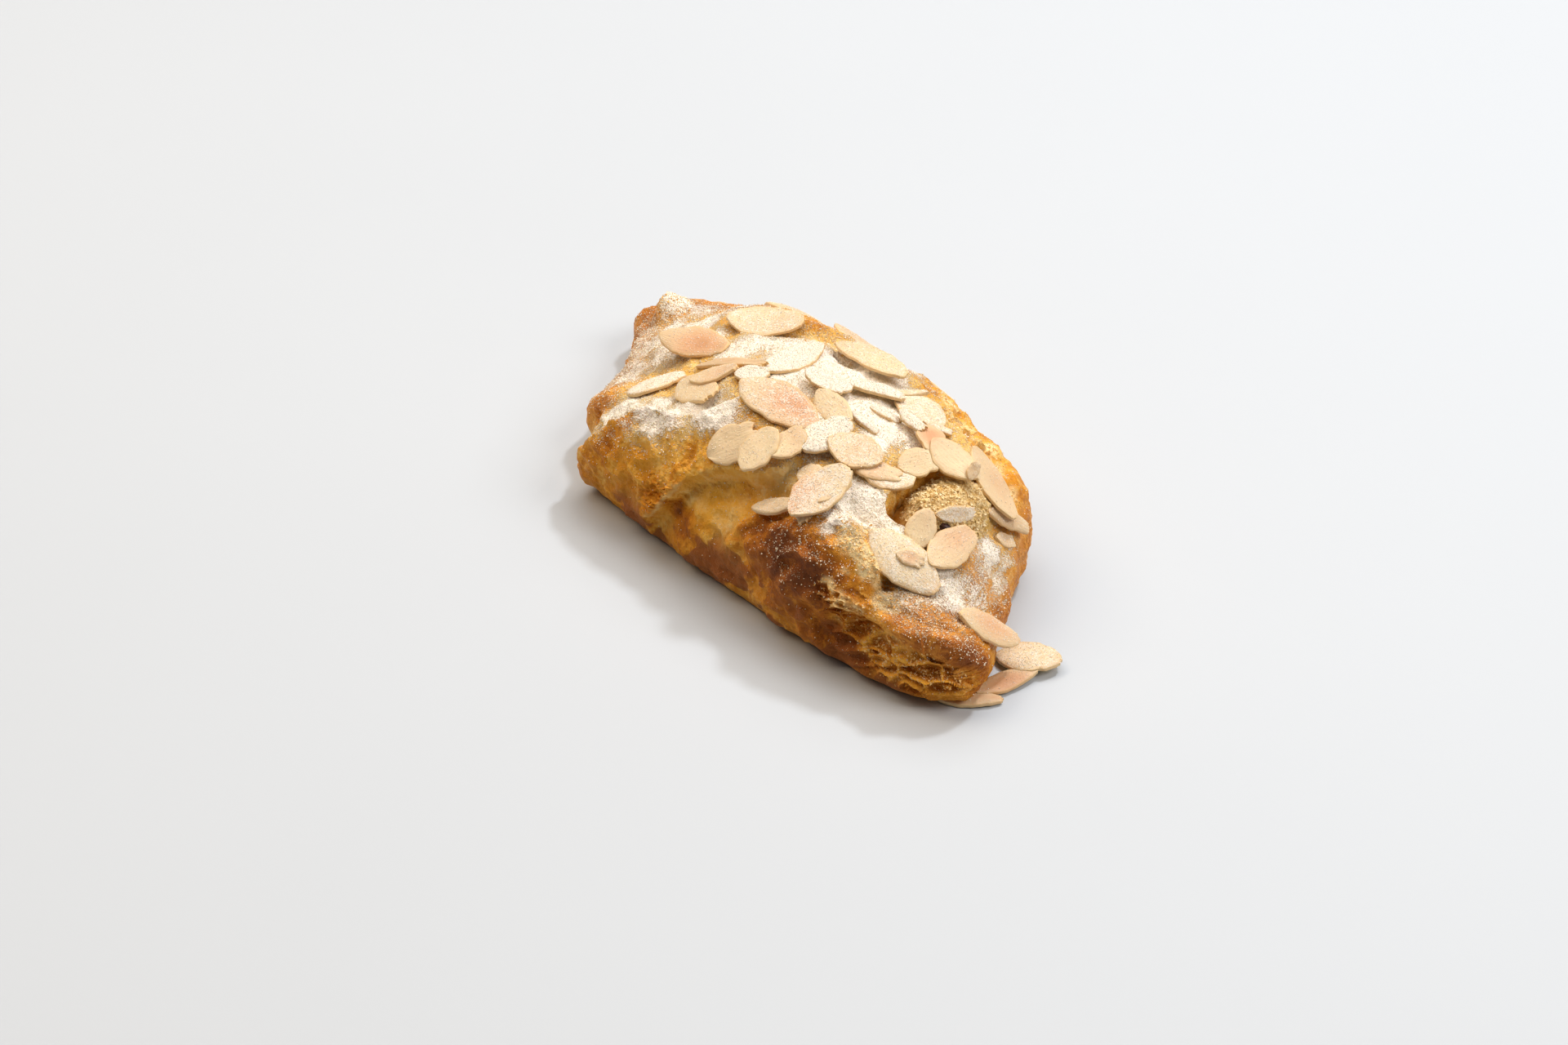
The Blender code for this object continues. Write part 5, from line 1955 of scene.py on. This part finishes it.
@dataclass(frozen=True)
class CrustFinish:
    """Egg-washed crust from pale gold to dark brown, with torn crumb, glassy skin and sugar, and painted
    shade in the crumb's cells and holes.
    """

    golden: tuple[tuple[float, Colour], ...] = (
        (0.0, (0.93, 0.66, 0.27)),
        (0.2, (0.87, 0.48, 0.09)),
        (0.36, (0.72, 0.285, 0.018)),
        (0.54, (0.46, 0.140, 0.008)),
        (0.74, (0.215, 0.060, 0.010)),
        (1.0, (0.085, 0.024, 0.007)),
    )
    ruddy: tuple[tuple[float, Colour], ...] = (
        (0.0, (0.90, 0.62, 0.32)),
        (0.2, (0.87, 0.47, 0.17)),
        (0.36, (0.72, 0.30, 0.06)),
        (0.54, (0.46, 0.15, 0.026)),
        (0.74, (0.24, 0.066, 0.014)),
        (1.0, (0.085, 0.026, 0.009)),
    )
    crumb: Colour = (0.92, 0.45, 0.055)
    # Painted shade: the darker crumb colour laid into the cells and fine holes.
    crumb_shade: Colour = (0.48, 0.165, 0.012)
    crumb_top: Colour = (0.96, 0.73, 0.38)
    top_starts: tuple[float, float] = (0.015, 0.021)
    glassy: Colour = (0.80, 0.38, 0.02)
    island: Colour = (0.34, 0.105, 0.024)
    pale: Colour = (0.90, 0.66, 0.28)
    sugar: Colour = (0.97, 0.9, 0.81)
    thin_sugar: Colour = (0.98, 0.75, 0.48)
    island_share: float = 0.95
    glassy_share: float = 0.8
    pale_share: float = 0.8
    hole_shade_share: float = 0.4
    sugar_share: float = 0.92
    roughness: float = 0.46
    sugar_dulling: float = 0.35
    glassy_shine: float = 0.14
    crumb_dulling: float = 0.25
    specular: float = 0.13
    depth: Depth = Depth(0.05, (1.0, 0.45, 0.16))

    def build(self, mottle: Group, dusting: Group) -> Material:
        """The material, from the shared groups.

        Args:
            mottle: The group for uneven tone.
            dusting: The group for powder.

        Returns:
            The finished material.
        """
        material, recipe, shader = new_finish("baked_crust")
        where = recipe.object_place()
        torn_share = recipe.range(recipe.mask("crumb"), low=0.18, high=0.62)
        colour = recipe.mix(torn_share, self.skin(recipe, where, mottle), self.torn(recipe, where))
        cover = recipe.group(dusting, amount=recipe.mask("sugar"))
        thick = recipe.range(recipe.mask("sugar"), low=0.2, high=0.7)
        powder = recipe.mix(thick, self.thin_sugar, self.sugar)
        colour = recipe.mix(recipe.times(cover, self.sugar_share), colour, powder)
        recipe.feed(shader, "Base Color", colour)
        rough = recipe.plus(self.roughness, cover, self.sugar_dulling)
        rough = recipe.plus(rough, recipe.mask("glow"), -self.glassy_shine)
        recipe.feed(shader, "Roughness", recipe.plus(rough, recipe.mask("crumb"), self.crumb_dulling))
        coarse = recipe.noise(where, scale=700, detail=4.0, rough=0.65)
        fine = recipe.plus(coarse, recipe.noise(where, scale=2300, detail=2.0), 0.4)
        fine = recipe.plus(fine, cover, 0.5)
        recipe.feed(shader, "Normal", recipe.bump(fine, strength=0.9, distance=0.0008))
        self.depth.give(shader)
        shader.inputs["Specular IOR Level"].default_value = self.specular
        return material

    def skin(self, recipe: Recipe, where: object, mottle: Group) -> Socket:
        """The colour of the baked skin, with marbled islands, glassy skin and pale torn edges.

        Args:
            recipe: The node tree to add to.
            where: The place on the object.
            mottle: The group for uneven tone.

        Returns:
            The colour.
        """
        # The browning mask also carries the painted highlights as paler crust.
        uneven = recipe.group(mottle, value=recipe.mask("bake_and_highlights"), patches=0.38, specks=0.32, veins=0.12)
        golden, ruddy = recipe.ramp(uneven, self.golden), recipe.ramp(uneven, self.ruddy)
        colour = recipe.mix(recipe.mask("ruddy"), golden, ruddy)
        islands = recipe.range(recipe.noise(where, scale=95, rough=0.5), low=0.485, high=0.525)
        marbled = recipe.times(recipe.mask("band"), recipe.times(islands, self.island_share))
        colour = recipe.mix(marbled, colour, self.island)
        colour = recipe.mix(recipe.times(recipe.mask("glow"), self.glassy_share), colour, self.glassy)
        return recipe.mix(recipe.times(recipe.mask("pale_edge"), self.pale_share), colour, self.pale)

    def torn(self, recipe: Recipe, where: object) -> Socket:
        """The colour of the torn crumb: paler near the top, with painted shade darkening its cells and fine
        holes.

        Args:
            recipe: The node tree to add to.
            where: The place on the object.

        Returns:
            The colour.
        """
        pit = recipe.mask("pit")
        # Painted shade: the crumb darkens deeper in its cells.
        lower = recipe.mix(recipe.range(pit, low=0.08, high=0.75), self.crumb, self.crumb_shade)
        upper = recipe.mix(recipe.range(pit, low=0.1, high=0.9), self.crumb_top, self.crumb)
        place = recipe.add("ShaderNodeSeparateXYZ")
        recipe.feed(place, 0, where)
        colour = recipe.mix(recipe.range(place.outputs[2], *self.top_starts), lower, upper)
        # Painted shade in fine holes too small to model.
        holes = recipe.range(recipe.noise(where, scale=1500), low=0.42, high=0.34)
        return recipe.mix(recipe.times(holes, self.hole_shade_share), colour, self.crumb_shade)


@dataclass(frozen=True)
class AlmondFinish:
    """Blanched almond, cream in the middle and toasted towards its edges, with painted shade on its sides
    and underside.
    """

    stops: tuple[tuple[float, Colour], ...] = (
        (0.0, (0.755, 0.595, 0.365)),
        (0.3, (0.705, 0.49, 0.29)),
        (0.6, (0.67, 0.365, 0.19)),
        (1.0, (0.48, 0.20, 0.08)),
    )
    # Golden rim colour: partly toasted edge, partly painted shade on the sides and underside.
    rim: Colour = (0.83, 0.585, 0.27)
    sugar: Colour = (0.85, 0.78, 0.69)
    tone_share: float = 0.07
    streak_share: float = 0.16
    edge_toast_and_shade_share: float = 0.55
    sugar_share: float = 0.85
    roughness: float = 0.48
    sugar_dulling: float = 0.35
    specular: float = 0.35
    depth: Depth = Depth(0.12, (1.0, 0.6, 0.3))

    def build(self, mottle: Group, dusting: Group) -> Material:
        """The material, from the shared groups.

        Args:
            mottle: The group for uneven tone.
            dusting: The group for powder.

        Returns:
            The finished material.
        """
        material, recipe, shader = new_finish("flaked_almond")
        where = recipe.object_place()
        streaks = self.streaks(recipe)
        base = recipe.plus(recipe.mask("toast"), recipe.mask("tone"), self.tone_share)
        base = recipe.plus(base, recipe.centred(streaks), self.streak_share)
        uneven = recipe.group(mottle, value=base, patches=0.26, specks=0.16, veins=0.0)
        # Painted shade and toasted edge: rim colour on the sides and underside.
        rim = recipe.times(recipe.mask("rim"), self.edge_toast_and_shade_share)
        colour = recipe.mix(rim, recipe.ramp(uneven, self.stops), self.rim)
        cover = recipe.group(dusting, amount=recipe.mask("sugar"))
        colour = recipe.mix(recipe.times(cover, self.sugar_share), colour, self.sugar)
        recipe.feed(shader, "Base Color", colour)
        recipe.feed(shader, "Roughness", recipe.plus(self.roughness, cover, self.sugar_dulling))
        fine = recipe.plus(recipe.times(streaks, 0.8), recipe.noise(where, scale=1600), 0.6)
        recipe.feed(shader, "Normal", recipe.bump(fine, strength=0.5, distance=0.0003))
        self.depth.give(shader)
        shader.inputs["Specular IOR Level"].default_value = self.specular
        return material

    def streaks(self, recipe: Recipe) -> Socket:
        """Fine streaks along each flake, in its own millimetres.

        Args:
            recipe: The node tree to add to.

        Returns:
            The streaks, from 0 to 1.
        """
        fibre = recipe.add("ShaderNodeCombineXYZ")
        recipe.feed(fibre, 0, recipe.times(recipe.mask("along"), 0.16))
        recipe.feed(fibre, 1, recipe.mask("across"))
        return recipe.noise(fibre.outputs[0], scale=1.6)


@dataclass(frozen=True)
class FillingFinish:
    """Moist yellow almond paste with pale grains and brown flecks."""

    paste: Colour = (0.62, 0.37, 0.085)
    pale: Colour = (0.82, 0.61, 0.31)
    fleck: Colour = (0.42, 0.20, 0.07)
    roughness: float = 0.5
    unevenness: float = 0.2
    depth: Depth = Depth(0.2, (1.0, 0.55, 0.2), 0.0015)

    def build(self, mottle: Group) -> Material:
        """The material, from the shared group.

        Args:
            mottle: The group for uneven tone.

        Returns:
            The finished material.
        """
        material, recipe, shader = new_finish("almond_paste")
        where = recipe.object_place()
        raised = recipe.range(recipe.mask("grain"), low=-0.6, high=0.9)
        uneven = recipe.group(mottle, value=raised, patches=0.5, specks=0.5, veins=0.0)
        flecks = recipe.range(recipe.noise(where, scale=900, detail=1.0), low=0.74, high=0.80)
        colour = recipe.mix(flecks, recipe.mix(uneven, self.paste, self.pale), self.fleck)
        recipe.feed(shader, "Base Color", colour)
        recipe.feed(shader, "Roughness", recipe.plus(self.roughness, uneven, self.unevenness))
        fine = recipe.noise(where, scale=1400, detail=4.0, rough=0.6)
        recipe.feed(shader, "Normal", recipe.bump(fine, strength=0.6, distance=0.0004))
        self.depth.give(shader)
        return material


@dataclass(frozen=True)
class PlainFinish:
    """A small piece of one colour with uneven tone."""

    name: str
    colour: Colour
    second: Colour
    roughness: float
    scale: float = 900.0

    def build(self) -> Material:
        """The material.

        Returns:
            The finished material.
        """
        material, recipe, shader = new_finish(self.name)
        where = recipe.object_place()
        share = recipe.range(recipe.noise(where, self.scale), low=0.35, high=0.65)
        recipe.feed(shader, "Base Color", recipe.mix(share, self.colour, self.second))
        recipe.feed(shader, "Roughness", recipe.plus(self.roughness, share, 0.15))
        fine = recipe.noise(where, 2 * self.scale, detail=2.0)
        recipe.feed(shader, "Normal", recipe.bump(fine, strength=0.4, distance=0.0002))
        return material


# The studio.


@dataclass(frozen=True)
class Lamp:
    """A square light aimed at the pastry.

    Its heading runs from +X towards +Y, its height is its angle above the floor, its distance and the length
    of its side are in metres, and its power is in watts.
    """

    name: str
    heading: float
    height: float
    distance: float
    side: float
    power: float
    tint: Colour
    aim: Point = (0.0, 0.0, 0.02)

    def add(self) -> None:
        """Adds the light."""
        lamp = bpy.data.lights.new(self.name, "AREA")
        lamp.size = self.side
        lamp.energy = self.power
        lamp.color = self.tint
        obj = bpy.data.objects.new(self.name, lamp)
        turn, lift = math.radians(self.heading), math.radians(self.height)
        way = Vector((math.cos(turn) * math.cos(lift), math.sin(turn) * math.cos(lift), math.sin(lift)))
        obj.location = way * self.distance + Vector(self.aim)
        obj.rotation_euler = way.to_track_quat("Z", "Y").to_euler()
        bpy.context.scene.collection.objects.link(obj)


@dataclass(frozen=True)
class Studio:
    """A pale floor, a small light from behind, soft lights round the pastry, and the camera."""

    camera_place: Point = (0.49760, -0.56625, 0.54672)
    camera_right: Point = (0.73119635, 0.68150981, 0.02993777)
    camera_down: Point = (0.4188178, -0.41384557, -0.80828429)
    lens: float = 89.3
    sensor_width: float = 36.0
    nearest: float = 0.01
    lamps: tuple[Lamp, ...] = (
        Lamp("key", 92.0, 56.0, 1.3, 0.13, 7.2, (0.97, 0.99, 1.0)),
        Lamp("overhead", 142.0, 64.0, 1.4, 1.2, 13.8, (1.0, 0.955, 0.90)),
        Lamp("side", 25.0, 45.0, 1.4, 0.7, 10.5, (1.0, 0.94, 0.87)),
        Lamp("front", -150.0, 50.0, 1.4, 0.7, 7.5, (1.0, 0.80, 0.57)),
    )
    sky: Colour = (1.0, 0.92, 0.82)
    sky_strength: float = 0.1
    floor_side: float = 8.0
    floor: Colour = (0.552, 0.593, 0.65)
    floor_dimming: float = 0.97
    floor_roughness: float = 0.55
    floor_specular: float = 0.25

    def build(self) -> None:
        """Adds the floor, the lights and the camera."""
        self.add_floor()
        for lamp in self.lamps:
            lamp.add()
        world = bpy.data.worlds.new("studio")
        world.use_nodes = True
        background = world.node_tree.nodes["Background"]
        background.inputs["Color"].default_value = (*self.sky, 1)
        background.inputs["Strength"].default_value = self.sky_strength
        bpy.context.scene.world = world
        self.add_camera()
        bpy.context.scene.view_settings.view_transform = "Standard"

    def add_floor(self) -> None:
        """A wide pale floor just under the pastry."""
        floor = added(bpy.ops.mesh.primitive_plane_add, "floor", size=self.floor_side, location=(0, 0, 0))
        material, recipe, shader = new_finish("pale_floor")
        tone = recipe.noise(recipe.object_place(), scale=6, detail=2.0)
        dimmed = tuple(self.floor_dimming * part for part in self.floor)
        recipe.feed(shader, "Base Color", recipe.mix(tone, self.floor, dimmed))
        shader.inputs["Roughness"].default_value = self.floor_roughness
        shader.inputs["Specular IOR Level"].default_value = self.floor_specular
        floor.data.materials.append(material)

    def add_camera(self) -> None:
        """The camera at the photograph's view."""
        lens = bpy.data.cameras.new("camera")
        lens.lens = self.lens
        lens.sensor_width = self.sensor_width
        lens.clip_start = self.nearest
        camera = bpy.data.objects.new("camera", lens)
        right = Vector(self.camera_right).normalized()
        up = -Vector(self.camera_down)
        up = (up - right * up.dot(right)).normalized()
        turn = Matrix((right, up, right.cross(up))).transposed()
        camera.matrix_world = Matrix.Translation(self.camera_place) @ turn.to_4x4()
        bpy.context.scene.collection.objects.link(camera)
        bpy.context.scene.camera = camera


CRUST_SUGAR = Scatter("sugar_on_crust", "sugar", 32000, 0.12, 0.34, 3)
LOOSE_SUGAR = Scatter("loose_sugar", "grains", 11000, 0.18, 0.5, 9, contrast=1.2)
ALMOND_SUGAR = Scatter("sugar_on_almonds", "sugar", 20000, 0.12, 0.3, 5)
CRUMBS = Scatter("crumbs", "crumbly", 2400, 0.3, 1.2, 7, 0.6, -0.5, 0.25)
PASTE_GRAINS = Scatter("paste_grains", "shown", 3000, 0.35, 1.1, 13, 0.9, 0.0, 0.25)

PLAIN_FINISHES = (
    PlainFinish("sugar", (0.93, 0.88, 0.80), (0.90, 0.84, 0.74), 0.45),
    PlainFinish("loose_sugar", (0.95, 0.84, 0.66), (0.90, 0.77, 0.56), 0.45),
    PlainFinish("torn_crumb", (0.90, 0.62, 0.26), (0.76, 0.40, 0.10), 0.65),
    PlainFinish("paste_grain", (0.90, 0.73, 0.44), (0.76, 0.53, 0.21), 0.5),
    PlainFinish("toasted_skin", (0.10, 0.045, 0.04), (0.045, 0.02, 0.022), 0.4),
)


def build_all() -> None:
    """Builds every piece, seats it in the frame and lights it."""
    mottle, dusting = mottle_group(), dusting_group()
    crust_finish = CrustFinish().build(mottle, dusting)
    almond_finish = AlmondFinish().build(mottle, dusting)
    filling_finish = FillingFinish().build(mottle)
    plain = {finish.name: finish.build() for finish in PLAIN_FINISHES}

    crust = Crust().build()
    filling_maker = Filling()
    filling = filling_maker.build()
    fragment = filling_maker.fragment(filling)
    flakes = FlakedAlmonds().build(crust, filling)
    on_pastry = (
        (crust, crust_finish),
        (flakes, almond_finish),
        (CRUST_SUGAR.build(crust), plain["sugar"]),
        (LOOSE_SUGAR.build(crust), plain["loose_sugar"]),
        (ALMOND_SUGAR.build(flakes), plain["sugar"]),
        (CRUMBS.build(crust), plain["torn_crumb"]),
    )
    on_filling = (
        (filling, filling_finish),
        (PASTE_GRAINS.build(filling), plain["paste_grain"]),
        (fragment, plain["toasted_skin"]),
    )
    for piece, finish in on_pastry:
        seat_in_frame(piece, "pastry", finish)
    for piece, finish in on_filling:
        seat_in_frame(piece, "filling", finish)
    Studio().build()


def main() -> None:
    """Builds the scene and reports it."""
    logging.basicConfig(level=logging.INFO, format="%(name)s: %(message)s")
    build_all()


if __name__ == "__main__":
    main()
